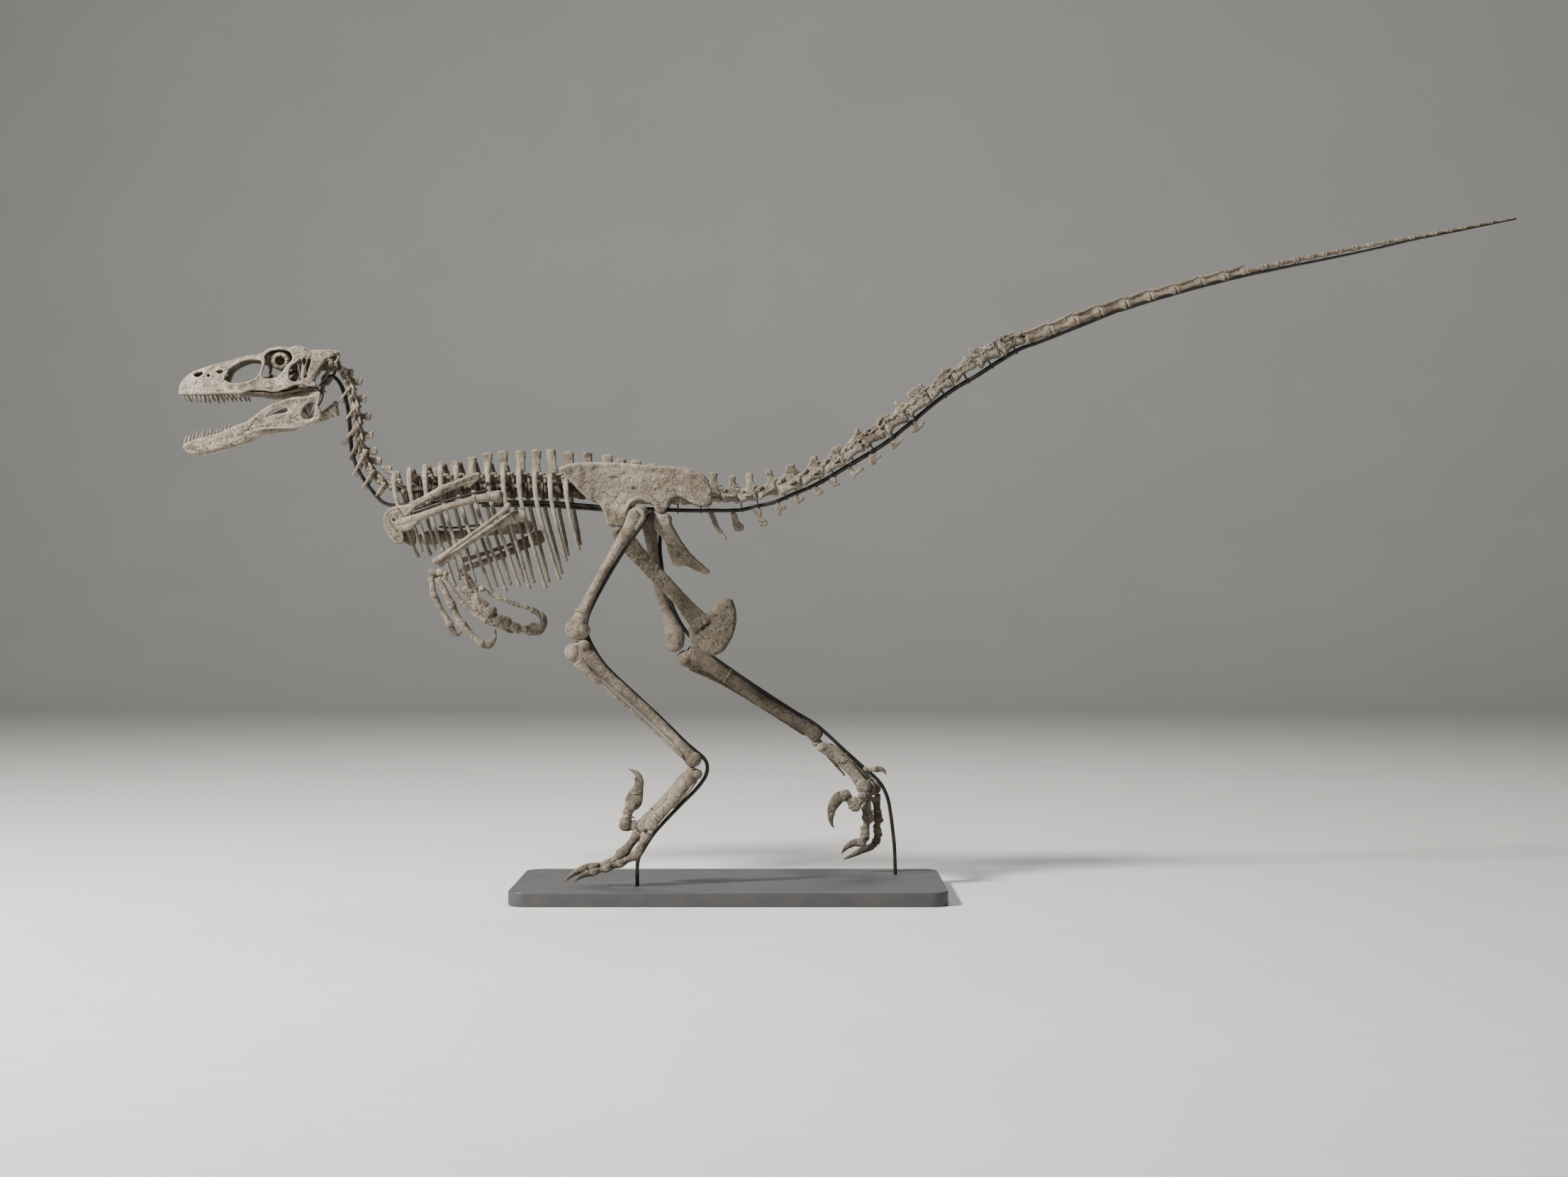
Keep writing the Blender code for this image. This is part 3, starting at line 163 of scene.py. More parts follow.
def relax(points, edges, amount, rounds, keep=0.0):
    # every point moves towards the middle of its neighbours, then `keep` of the way back
    degree = np.bincount(edges.ravel(), minlength=len(points))[:, None] + 1e-9
    for _ in range(rounds):
        for share in (amount, -keep) if keep else (amount,):
            total = np.zeros_like(points)
            for axis in range(3):
                total[:, axis] = (np.bincount(edges[:, 0], points[edges[:, 1], axis], len(points))
                                  + np.bincount(edges[:, 1], points[edges[:, 0], axis], len(points)))
            points = points + share * (total / degree - points)
    return points


def meshOf(name, points, starts, corners, metres=True):
    # a mesh from its points and from loops of corners
    mesh = bpy.data.meshes.new(name)
    mesh.vertices.add(len(points))
    mesh.vertices.foreach_set("co", (points * (mm if metres else 1.0)).astype(np.float32).ravel())
    mesh.loops.add(len(corners))
    mesh.loops.foreach_set("vertex_index", corners.astype(np.int32))
    mesh.polygons.add(len(starts))
    mesh.polygons.foreach_set("loop_start", starts.astype(np.int32))
    mesh.update(calc_edges=True)
    return mesh


def loopsOf(quads, tris):
    # where each face starts, and the corners of all faces in one row
    corners = np.concatenate([quads.ravel(), tris.ravel()])
    totals = np.concatenate([np.full(len(quads), 4), np.full(len(tris), 3)])
    return np.concatenate([[0], np.cumsum(totals)[:-1]]), corners


def readMesh(mesh):
    # the points in millimetres, the faces as in loopsOf, the edges and the normals
    def column(rows, field, width, kind):
        out = np.empty(len(rows) * width, kind)
        rows.foreach_get(field, out)
        return out.reshape(-1, width) if width > 1 else out

    return dict(points=column(mesh.vertices, "co", 3, np.float32).astype(float) / mm,
                starts=column(mesh.polygons, "loop_start", 1, np.int32),
                corners=column(mesh.loops, "vertex_index", 1, np.int32),
                edges=column(mesh.edges, "vertices", 2, np.int32),
                normals=column(mesh.vertex_normals, "vector", 3, np.float32).astype(float))


def newObject(name, data):
    # an object at the origin
    made = bpy.data.objects.new(name, data)
    bpy.context.scene.collection.objects.link(made)
    return made


def voxelSkin(mesh, voxel):
    # the outer skin of all shells in a mesh, found on a grid of `voxel` mm
    made = newObject("clay", mesh)
    wrap = made.modifiers.new("wrap", "REMESH")
    wrap.mode, wrap.voxel_size = "VOXEL", voxel * meshStep * mm
    graph = bpy.context.evaluated_depsgraph_get()
    joined = bpy.data.meshes.new_from_object(made.evaluated_get(graph))
    bpy.data.objects.remove(made, do_unlink=True)
    bpy.data.meshes.remove(mesh)
    return joined


wear = {"swells": 13, "knobs": 6, "grain": 2.6, "pores": 3.4, "dents": 8}  # sizes of the unevenness in mm


def skin(clay, voxel=1.6, rough=(0.45, 0.25, 0.5), seed=1, blend=3, raw=False):
    # joins the shells of one bone: a voxel skin, relaxed so that they run into each other, then
    # pushed along its normals by value noise, coarse and fine, less scattered pits, as `rough` says
    mesh = meshOf("clay", np.vstack(clay.points), *loopsOf(np.vstack(clay.quads), np.vstack(clay.tris)))
    if not raw:
        mesh = voxelSkin(mesh, voxel)
    data = readMesh(mesh)
    bpy.data.meshes.remove(mesh)
    points, normals, edges, (coarse, fine, pits) = data["points"], data["normals"], data["edges"], rough
    if blend and not raw:
        points = relax(points, edges, 0.55, blend, 0.35)
    swells, knobs, grain, pores, dents = (
        valueNoise(points, size, seed + i) for i, size in enumerate(wear.values()))
    push = (coarse * (swells + 0.6 * knobs) + fine * grain - pits * np.clip(pores - 0.45, 0, 1)
            - pits * 1.4 * np.clip(dents - 0.5, 0, 1))
    data["points"] = points = points + normals * push[:, None]
    # how far a point lies below its surroundings, for the dirt with painted shade in the hollows and the
    # painted highlight on raised parts
    around = relax(points, edges, 0.7, 9)
    data["hollow"] = np.clip(0.5 + ((around - points) * normals).sum(axis=1) / 2.2, 0, 1)
    return data


def piece(name, node, skins, look, slot="fossil_bone"):
    # one object of all the skins, which stands for the CAD node where one is named
    starts, corners, count, loops = [], [], 0, 0
    for data in skins:
        starts.append(data["starts"] + loops)
        corners.append(data["corners"] + count)
        count += len(data["points"])
        loops += len(data["corners"])
    mesh = meshOf(name, np.vstack([data["points"] for data in skins]), np.concatenate(starts),
                  np.concatenate(corners))
    hollow = np.concatenate([data["hollow"] for data in skins]).astype(np.float32)
    mesh.attributes.new("hollow", "FLOAT", "POINT").data.foreach_set("value", hollow)
    mesh.polygons.foreach_set("use_smooth", np.ones(len(mesh.polygons), bool))
    mesh.materials.append(looks[look])
    made = newObject(name, mesh)
    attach(made, "root")
    if node:
        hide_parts(node)
    print(f"{name}: {sum(len(data['corners']) - 2 * len(data['starts']) for data in skins)} triangles")


def closedCurve(corners, spacing=2.0):
    # a smooth line through the corners and round to the first one again
    p = np.array(corners, float)
    a, b, c, d = (np.roll(p, shift, 0)[:, None] for shift in (1, 0, -1, -2))
    steps = max(2, int(np.linalg.norm(c - b, axis=2).mean() / spacing))
    return catmullRom(a, b, c, d, (np.arange(steps) / steps)[None, :, None]).reshape(-1, 2)


def lineDistance(line, where, closed=False):
    # the shortest way from each point to the stretches of a line
    a = line if closed else line[:-1]
    b = np.roll(line, -1, 0) if closed else line[1:]
    way = b - a
    best = np.full(len(where), 1e9)
    for part in np.array_split(np.arange(len(a)), max(1, len(a) * len(where) // 3000000)):
        off = where[:, None] - a[None, part]
        share = np.clip((off * way[part]).sum(-1) / ((way[part]**2).sum(-1) + 1e-12), 0, 1)
        best = np.minimum(best, np.sqrt(((off - share[..., None] * way[part])**2).sum(-1)).min(axis=1))
    return best


def insideDepth(line, where):
    # distance to a closed line, positive inside it: a point is inside where a ray crosses the line an
    # odd number of times
    odd = np.zeros(len(where), bool)
    for (ax, az), (bx, bz) in zip(line, np.roll(line, -1, 0)):
        if az != bz:
            between = (az > where[:, 1]) != (bz > where[:, 1])
            odd ^= between & (where[:, 0] < (bx - ax) * (where[:, 1] - az) / (bz - az) + ax)
    return lineDistance(line, where, True) * np.where(odd, 1, -1)


def plate(clay, outline, place, thick, holes=(), relief=None, step=1.1, rim=None, side=near):
    # a sheet of bone over a flat outline with openings: place(x, v) says how far out and how high each
    # spot lies, thick(x, v, d) is half its thickness, and its edges are half circles
    lines, step = [closedCurve(line) for line in (outline, *holes)], step * meshStep
    low, high = lines[0].min(axis=0) - 2 * step, lines[0].max(axis=0) + 2 * step
    x, v = np.meshgrid(*(np.arange(a, b, step) for a, b in zip(low, high)), indexing="ij")
    where = np.column_stack([x.ravel(), v.ravel()])
    d = np.min([insideDepth(lines[0], where)] + [-insideDepth(line, where) for line in lines[1:]], axis=0)
    d = d.reshape(x.shape)
    # cells whose middle lies inside; their outermost corners are drawn to the line
    cell = (d[:-1, :-1] + d[1:, :-1] + d[:-1, 1:] + d[1:, 1:]) > 0
    count = np.zeros(x.shape, int)
    for i in (0, 1):
        for j in (0, 1):
            count[i:count.shape[0] - 1 + i, j:count.shape[1] - 1 + j] += cell
    edge, full = (count > 0) & (count < 4), count == 4
    slopeX, slopeV = np.gradient(d, step)
    slope = np.hypot(slopeX, slopeV) + 1e-6
    pull = np.where(edge, np.clip(-d, -1.2 * step, 1.2 * step), 0) / slope**2
    x, v = x + pull * slopeX, v + pull * slopeV
    d = np.where(edge, 0, np.maximum(d, 0.2 * step))
    # both faces share the edge's points
    outer, used = np.full(x.shape, -1), edge | full
    outer[used] = np.arange(used.sum())
    inner = outer.copy()
    inner[full] = used.sum() + np.arange(full.sum())
    out, up = place(x, v)
    outNext, upNext = place(x, v + 0.5)
    run = np.hypot(outNext - out, upNext - up) + 1e-9
    normalOut, normalUp = (upNext - up) / run, -(outNext - out) / run
    half = thick(x, v, d) if callable(thick) else np.full(x.shape, float(thick))
    half = half * np.sqrt(np.clip(1 - (1 - np.minimum(d / (rim or half), 1))**2, 0, 1))
    raised = half + (relief(x, v, d) * (d > 0) if relief else 0)
    layers = []
    for mask, shift in ((used, raised), (full, -half)):
        grids = x, side * (out + normalOut * shift), up + normalUp * shift
        layers.append(np.column_stack([grid[mask] for grid in grids]))
    quads = []
    for index, turned in ((outer, side == far), (inner, side == near)):
        corners = index[:-1, :-1], index[1:, :-1], index[1:, 1:], index[:-1, 1:]
        loop = np.stack([corner[cell] for corner in corners], 1)
        quads.append(loop[:, ::-1] if turned else loop)
    clay.add(np.vstack(layers), np.vstack(quads), noTriangles)


def groove(x, v, line, width):
    # 1 along a line, falling off as a bell curve of the given width
    away = lineDistance(np.array(line, float), np.column_stack([x.ravel(), v.ravel()]))
    return np.exp(-(away / width)**2).reshape(x.shape)


def slab(clay, outline, half, rim, step=1.1):
    # an outline in the side view filled out to a pillow: from `rim` mm in on it is `half` thick each way
    plate(clay, outline, lambda x, v: (0 * x, v), half, step=step, rim=rim)


def put(tree, kind, values=None, **settings):
    # adds a node; a value that is a socket is linked, any other is set on the input
    node = tree.nodes.new(kind)
    for key, value in settings.items():
        setattr(node, key, value)
    for key, value in (values or {}).items():
        socket = node.inputs[key]
        if isinstance(value, bpy.types.NodeSocket):
            tree.links.new(value, socket)
        else:
            socket.default_value = value
    return node


def noise(tree, where, scale, detail, **values):
    # noise of `scale` waves a metre
    inputs = {"Vector": where, "Scale": scale, "Detail": detail, **values}
    return put(tree, "ShaderNodeTexNoise", inputs).outputs["Fac"]


def ramp(tree, value, low, high, to=(0.0, 1.0)):
    # a straight rise over the values from low to high
    return put(tree, "ShaderNodeMapRange", {"Value": value, "From Min": low, "From Max": high,
                                            "To Min": to[0], "To Max": to[1]}).outputs[0]


def sums(tree, how, a, b):
    # two values added, multiplied and so on
    return put(tree, "ShaderNodeMath", {0: a, 1: b}, operation=how).outputs[0]


def tint(tree, share, a, b):
    # colour a with a share of colour b
    return put(tree, "ShaderNodeMix", {0: share, 6: a, 7: b}, data_type="RGBA").outputs[2]


def fossilGroup():
    # old bone: broad patches, finer mottling, specks, a net of cracks, dirt with painted shade in the
    # hollows, and a painted highlight on raised parts
    group = bpy.data.node_groups.new("fossilSurface", "ShaderNodeTree")
    for label, kind, value in (
            ("Light", "Color", (0.47, 0.41, 0.335, 1)), ("Mid", "Color", (0.34, 0.288, 0.225, 1)),
            ("Dark", "Color", (0.13, 0.105, 0.07, 1)), ("Grain", "Float", 1.0), ("Cracks", "Float", 0.5),
            ("Dirt", "Float", 0.8), ("Stain", "Float", 0.4)):
        socket = group.interface.new_socket(label, in_out="INPUT", socket_type="NodeSocket" + kind)
        socket.default_value = value
    for label, kind in (("Color", "Color"), ("Roughness", "Float"), ("Height", "Float")):
        group.interface.new_socket(label, in_out="OUTPUT", socket_type="NodeSocket" + kind)
    given, result = group.nodes.new("NodeGroupInput").outputs, group.nodes.new("NodeGroupOutput").inputs
    where = put(group, "ShaderNodeTexCoord").outputs["Object"]
    hollow = put(group, "ShaderNodeAttribute", attribute_name="hollow").outputs["Fac"]

    def fog(scale, detail, roughness=0.6, distortion=0.0):
        return noise(group, where, scale, detail, Roughness=roughness, Distortion=distortion)

    def times(a, b):
        return sums(group, "MULTIPLY", a, b)

    def net(scale, width, warp):
        # thin lines along the borders of cells, bent by noise
        bent = put(group, "ShaderNodeTexNoise", {"Vector": where, "Scale": scale * 1.4, "Detail": 2.0})
        moved = put(group, "ShaderNodeVectorMath", {0: bent.outputs["Color"], 1: (warp,) * 3},
                    operation="MULTIPLY")
        place = put(group, "ShaderNodeVectorMath", {0: where, 1: moved.outputs[0]}, operation="ADD")
        cells = put(group, "ShaderNodeTexVoronoi", {"Vector": place.outputs[0], "Scale": scale},
                    feature="DISTANCE_TO_EDGE")
        return ramp(group, cells.outputs["Distance"], 0.0, width, (1.0, 0.0))

    mottle, specks = fog(46.0, 6.0, 0.68, 0.7), fog(330.0, 3.0, 0.7)
    cracks = times(net(34.0, 0.022, 0.012), ramp(group, fog(15.0, 2.0), 0.46, 0.58))
    crazing = times(net(120.0, 0.03, 0.004), ramp(group, fog(22.0, 2.0), 0.5, 0.64, (0.0, 0.6)))
    lines = times(sums(group, "MAXIMUM", cracks, crazing), given["Cracks"])
    # painted shade with dirt: the deeper a point lies below its surroundings, the more of the dark tone it
    # takes
    dirt = times(ramp(group, hollow, 0.54, 0.76), given["Dirt"])
    shade = tint(group, ramp(group, fog(11.0, 5.0, 0.65, 0.5), 0.4, 0.6), given["Mid"], given["Light"])
    for share, colour in (
            (times(ramp(group, mottle, 0.52, 0.36), given["Stain"]), "Dark"),
            (times(ramp(group, mottle, 0.55, 0.66), 0.6), "Light"),
            (times(ramp(group, specks, 0.49, 0.39), times(given["Grain"], 0.5)), "Dark"),
            (dirt, "Dark"),
            # painted highlight: parts raised above their surroundings take more of the light tone
            (times(ramp(group, hollow, 0.42, 0.15), 0.35), "Light"),
            (times(lines, 0.8), "Dark")):
        shade = tint(group, share, shade, given[colour])
    rough = sums(group, "ADD", ramp(group, mottle, 0.3, 0.7, (0.82, 0.58)), times(dirt, 0.1))
    fine = times(sums(group, "ADD", times(specks, 0.35), fog(820.0, 2.0)), given["Grain"])
    height = sums(group, "ADD", times(mottle, 1.3), times(fine, 0.45))
    height = sums(group, "SUBTRACT", height, times(lines, 1.2))
    for value, label in ((shade, "Color"), (rough, "Roughness"), (height, "Height")):
        group.links.new(value, result[label])
    return group


fossil = fossilGroup()


def newFinish(name, look, bump, depth, specular, metallic=0.0):
    # a material with the colour, roughness and height that look(tree) gives
    made = bpy.data.materials.new(name)
    made.use_nodes = True
    tree = made.node_tree
    shader = tree.nodes["Principled BSDF"].inputs
    colour, roughness, height = look(tree)
    relief = put(tree, "ShaderNodeBump", {"Height": height, "Strength": bump, "Distance": depth}).outputs[0]
    for label, value in (("Base Color", colour), ("Roughness", roughness), ("Normal", relief)):
        tree.links.new(value, shader[label])
    shader["Specular IOR Level"].default_value = specular
    shader["Metallic"].default_value = metallic
    return made


def boneFinish(name, light, mid, dark, bump=0.5, depth=0.0011, **amounts):
    # the fossil surface in three tones, with how much of each kind of wear, and of the dirt with painted
    # shade in the hollows, it has
    def look(tree):
        values = {"Light": (*light, 1), "Mid": (*mid, 1), "Dark": (*dark, 1)}
        values.update({key.capitalize(): value for key, value in amounts.items()})
        node = put(tree, "ShaderNodeGroup", values, node_tree=fossil)
        return [node.outputs[label] for label in ("Color", "Roughness", "Height")]

    return newFinish(name, look, bump, depth, 0.32)


def plainFinish(name, colour, second, roughness, metallic, scale, depth=0.0004, bump=0.25, specular=0.5):
    # two close colours in fine noise, with roughness and relief from a noise 14 times as fine
    def look(tree):
        where = put(tree, "ShaderNodeTexCoord").outputs["Object"]
        broad, small = noise(tree, where, scale, 5.0), noise(tree, where, scale * 14, 3.0)
        return (tint(tree, ramp(tree, broad, 0.35, 0.65), (*colour, 1), (*second, 1)),
                ramp(tree, small, 0.3, 0.7, (roughness - 0.08, roughness + 0.1)), small)

    return newFinish(name, look, bump, depth, specular, metallic)


looks = {
    "skull": boneFinish("skullBone", (0.335, 0.289, 0.232), (0.165, 0.134, 0.1), (0.03, 0.021, 0.012),
                        bump=0.7, depth=0.0015, cracks=1.0, stain=0.75, dirt=1.0, grain=1.5),
    # a very dark copy of the bone colour for the inside of the head: painted shade
    "insideShade": boneFinish("insideShadeBone", (0.15, 0.12, 0.085), (0.075, 0.058, 0.038), (0.02, 0.014, 0.008),
                       bump=0.8, depth=0.0018, cracks=0.8, stain=0.8, dirt=1.0, grain=1.5),
    "body": boneFinish("bodyBone", (0.27, 0.229, 0.179), (0.12, 0.097, 0.07), (0.024, 0.017, 0.01),
                       bump=0.85, depth=0.0018, stain=0.55, dirt=0.95, grain=1.4),
    # a darker copy of the bone colour for the far-side bones and the pubis: painted shade
    "shade": boneFinish("paintedShadeBone", (0.165, 0.137, 0.1), (0.088, 0.071, 0.05), (0.02, 0.014, 0.008),
                        bump=0.9, depth=0.002, cracks=1.0, stain=0.36, dirt=0.9, grain=1.5),
    "rough": boneFinish("matrixBone", (0.285, 0.246, 0.195), (0.128, 0.105, 0.077), (0.019, 0.014, 0.008),
                        bump=0.95, depth=0.0024, grain=1.6, cracks=0.7, stain=0.4, dirt=0.75),
    "hip": boneFinish("hipBone", (0.272, 0.232, 0.182), (0.128, 0.104, 0.075), (0.024, 0.017, 0.01),
                      bump=0.8, depth=0.0022, cracks=1.0, stain=0.32, dirt=0.7, grain=1.0),
    "tail": boneFinish("tailBone", (0.27, 0.224, 0.165), (0.155, 0.124, 0.086), (0.03, 0.021, 0.012),
                       bump=0.6, depth=0.0013, cracks=0.6, stain=0.6, grain=1.2),
    "claw": boneFinish("clawHorn", (0.16, 0.137, 0.108), (0.082, 0.068, 0.05), (0.02, 0.015, 0.01),
                       bump=0.55, cracks=0.7, stain=0.7, grain=1.0),
    "tooth": boneFinish("toothEnamel", (0.165, 0.146, 0.12), (0.09, 0.077, 0.06), (0.024, 0.018, 0.012),
                        bump=0.3, depth=0.0006, cracks=0.4, stain=0.5, grain=0.6),
    "steel": plainFinish("blackSteel", (0.022, 0.021, 0.02), (0.045, 0.04, 0.034), 0.42, 0.75, 40.0),
    "brightSteel": plainFinish("bareSteel", (0.42, 0.42, 0.41), (0.30, 0.29, 0.275), 0.3, 1.0, 60.0),
    "brass": plainFinish("wireTie", (0.40, 0.34, 0.25), (0.22, 0.18, 0.12), 0.38, 0.9, 80.0),
    "board": plainFinish("boardPaint", (0.055, 0.055, 0.058), (0.068, 0.066, 0.066), 0.5, 0.0, 18.0,
                         depth=0.0006, bump=0.35, specular=0.4),
    "floor": plainFinish("floorPaint", (0.62, 0.612, 0.595), (0.64, 0.632, 0.615), 0.62, 0.0, 1.5,
                         bump=0.05, specular=0.25),
}
print("finishes made")


def shifted(rows, y):
    # the same rows, `y` mm further along Y
    return [(x, dy + y, z, *size) for x, dy, z, *size in rows]


def longBone(name, node, shape, y=0):
    # a bar along the shaft, a second one for its crest, and balls for the knobs at its ends
    clay = Clay()
    bar(clay, shifted(shape["shaft"], y), sides=24, spacing=3.0)
    for knob in shifted(shape.get("knobs", ()), y):
        ball(clay, *knob)
    if "crest" in shape:
        bar(clay, shifted(shape["crest"], y))
    piece(name, node, [skin(clay, shape.get("voxel", 1.7), seed=shape["seed"])], shape.get("look", "body"))


def phalanx(clay, start, end, flat=0.85):
    # a finger or toe bone: a cupped wide head, a narrow waist, and a pulley of two discs
    a, b = np.array(start[:3], float), np.array(end[:3], float)
    ra, rb, way = start[3], end[3], b - a
    length = np.linalg.norm(way)
    places = [0.3 * ra / length, 0.5 * ra / length + 0.05, 0.3, 0.52, 0.76, 1 - 0.3 * rb / length]
    sizes = [ra * 1.08, ra * 1.06, ra * 0.58 + rb * 0.28, rb * 0.74, rb * 0.82, rb * 0.95]
    bar(clay, [(*(a + way * t), r, r * flat) for t, r in zip(places, sizes)], spacing=2.0, dome=0.12)
    for side in (-1, 1):
        ball(clay, b[0], b[1] + side * rb * 0.42, b[2], rb * 0.98, 0.5)
    ball(clay, b[0], b[1], b[2], rb * 0.84, 0.8)


def digit(name, node, shape, y=0):
    # separate bones from joint to joint, and a hooked claw: a superellipse of power 1.8 along its rows
    skins, joints, seed, lumps = [], shifted(shape["joints"], y), shape["seed"], shape.get("lumps", 0.0)
    for i in range(len(joints) - 1):
        clay = Clay()
        phalanx(clay, joints[i], joints[i + 1])
        for k in range(int(lumps * 7)):
            # crusts of matrix, scattered by the golden angle along the bone and round it
            t, turn = (k * 0.618 + 0.1 * i) % 1, 2.4 * k + i
            spotX, spotY, spotZ, r = np.array(joints[i]) * (1 - t) + np.array(joints[i + 1]) * t
            ball(clay, spotX + 0.5 * r * math.cos(turn), spotY + 0.6 * r * math.sin(turn),
                 spotZ + 0.5 * r * math.cos(turn + 1.3), r * (0.5 + 0.1 * (k % 3)), 0.8, 1.2)
        skins.append(skin(clay, 1.3, (0.4 + lumps, 0.25, 0.5 + 0.6 * lumps), seed + i, blend=2))
    piece(name, node, skins, shape.get("look", "body"))
    clay, rows = Clay(), shifted(shape["claw"], y)
    bar(clay, rows, sides=20, spacing=1.5, power=1.8)
    x, y, z, h, w = rows[0]
    ball(clay, x, y, z, h * 0.9, w / h)
    piece(name + "Claw", node, [skin(clay, 1.0, (0.2, 0.12, 0.3), seed + 9, blend=1)], "claw")


def bell(x, v, spot):
    # 1 at a spot (x, height, length, rise), falling off from it as a bell curve each way
    px, pz, long, high = spot
    return np.exp(-((x - px) / long)**2 - ((v - pz) / high)**2)


def flatBone(name, node, side, outline, place, thick, relief, rim, rough, seed, look, holes=()):
    # one sheet as a piece of its own
    clay = Clay()
    plate(clay, outline, place, thick, holes, relief, rim=rim, side=side)
    piece(name, node, [skin(clay, raw=True, rough=rough, seed=seed + side)], look)


shoulderShape = {  # seen from the side, and how far out it lies along it
    "reach": 97, "alongX": [-777, -763, -746, -722, -695, -552], "outs": [0.5, 0.72, 0.9, 0.97, 1.0, 1.03],
    "outline": [(-554.7, 946.1), (-552.2, 935.4), (-561, 925.9), (-598.8, 913.3), (-636.5, 897.6),
        (-674.3, 878.7), (-699.4, 863), (-712, 850.4), (-724.6, 831.6), (-721.5, 806.4), (-724.6, 790.7),
        (-740.3, 788.8), (-752.9, 800.1), (-763.6, 812.7), (-773, 831.6), (-774.9, 847.3), (-768.6, 859.9),
        (-756.1, 869.3), (-737.2, 873.7), (-718.3, 876), (-708.9, 880), (-674.3, 898.9), (-636.5, 918.4),
        (-598.8, 932.8), (-573.6, 943.5)],
    "seam": [(-742, 877), (-733, 866), (-727, 858), (-720, 849)],
    "opening": [(-748, 842), (-745, 846), (-741, 843), (-744, 839)], "socket": (-722, 838, 12, 16),
    "spine": [(-700, 872), (-640, 908), (-575, 937)]}


def shoulder(side, name, node):
    # the blade lies along the ribs; in front of the seam the sheet turns in to the chest
    shape = shoulderShape

    def place(x, v):
        return shape["reach"] * np.interp(x, shape["alongX"], shape["outs"]), v

    def thick(x, v, d):
        return 3.2 + 2.6 * np.clip((-x - 680) / 50, 0, 1) + 5 * bell(x, v, shape["socket"])

    def relief(x, v, d):
        return (1.8 * groove(x, v, shape["spine"], 5) - 1.7 * groove(x, v, shape["seam"], 1.3)
                - 1.2 * np.exp(-((d - 8) / 4)**2) * (x < -735))

    # the far blade in the darker copy of the bone colour: painted shade
    flatBone(name, node, side, shape["outline"], place, thick, relief, 5.0, (0.9, 0.45, 0.9), 40,
             "body" if side == near else "shade", [shape["opening"]])


# bones as rows x, y, z, half height, half width; knobs as x, y, z, radius, flatness, length
armLeft = {
    "y": -124,
    "humerus": {"shaft": [(-738, 14, 831, 8, 6), (-724, 12, 833, 12, 7), (-705, 8, 838, 13, 6.5),
        (-672, 4, 852, 9, 7.5), (-622, 0, 870, 8, 8), (-565, 0, 886, 8.4, 8.5), (-528, 0, 892, 11, 11),
        (-510, 0, 893, 14, 13), (-502, 0, 892, 12, 12)], "knobs": [(-508, -6, 898, 9), (-508, 7, 888, 10)],
        "crest": [(-735, 8, 826, 5, 4), (-712, 2, 824, 8, 3.5), (-688, 0, 838, 4, 3)], "seed": 21},
    "radius": {"shaft": [(-488, -10, 870, 7, 6), (-498, -10, 861, 5.5, 5), (-514, -10, 847, 4.8, 4.5),
        (-560, -10, 813, 4.8, 4.5), (-602, -10, 783, 4.8, 4.5), (-627, -8, 764, 6, 5.5),
        (-650, -6, 748, 8, 7)], "knobs": [(-487, -10, 872, 8, 0.9)], "voxel": 1.3, "seed": 22},
    "ulna": {"shaft": [(-451, 7, 853, 9, 8), (-461, 7, 852, 13, 8.5), (-480, 7, 847, 12, 8),
        (-505, 7, 834, 9.5, 7), (-535, 6, 817, 8, 6.5), (-570, 5, 795, 7, 6), (-605, 4, 769, 7, 6),
        (-640, 5, 743, 8, 7)], "seed": 23},
    "wrist": [(-654, 0, 726, 8, 0.9, 1.3), (-637, -2, 725, 9, 0.9, 1.1), (-625, -4, 722, 7, 0.9, 1.0),
        (-648, 8, 718, 7, 0.9, 1.2)],
    "wristCoarse": 0.7, "palmLook": "body",
    "palm": [[(-657, 0, 717, 7.5), (-652, 0, 676, 8.5)], [(-643, -5, 716, 8.5), (-614, -5, 659, 9.5)],
        [(-630, -12, 716, 5.8), (-587, -13, 659, 6)]],
    "fingerOne": {"joints": [(-651, 2, 673, 8), (-617, 6, 611, 8)], "seed": 51, "lumps": 0.4,
        "claw": [(-615, 6, 603, 9, 4.2), (-607, 7, 592, 7, 3.8), (-597, 8, 590, 4.5, 2.6),
        (-589, 9, 602, 1, 0.9)]},
    "fingerTwo": {"joints": [(-612, -5, 656, 9), (-593, -3, 615, 9.5), (-547, 0, 569, 8.5)], "seed": 54,
        "lumps": 0.4, "claw": [(-543, 0, 567, 9.5, 4.4), (-528, 1, 567, 9, 4.2), (-518, 2, 581, 5.5, 3),
        (-515, 3, 604, 1, 0.9)]},
    "fingerThree": {"joints": [(-585, -15, 655, 5.2), (-558, -17, 632, 5), (-536, -18, 619, 4.6)], "seed": 57,
        "lumps": 0.3, "claw": [(-535, -18, 618, 5, 2.8), (-522, -18, 611, 4, 2.2), (-512, -18, 614, 1, 0.9)]}}
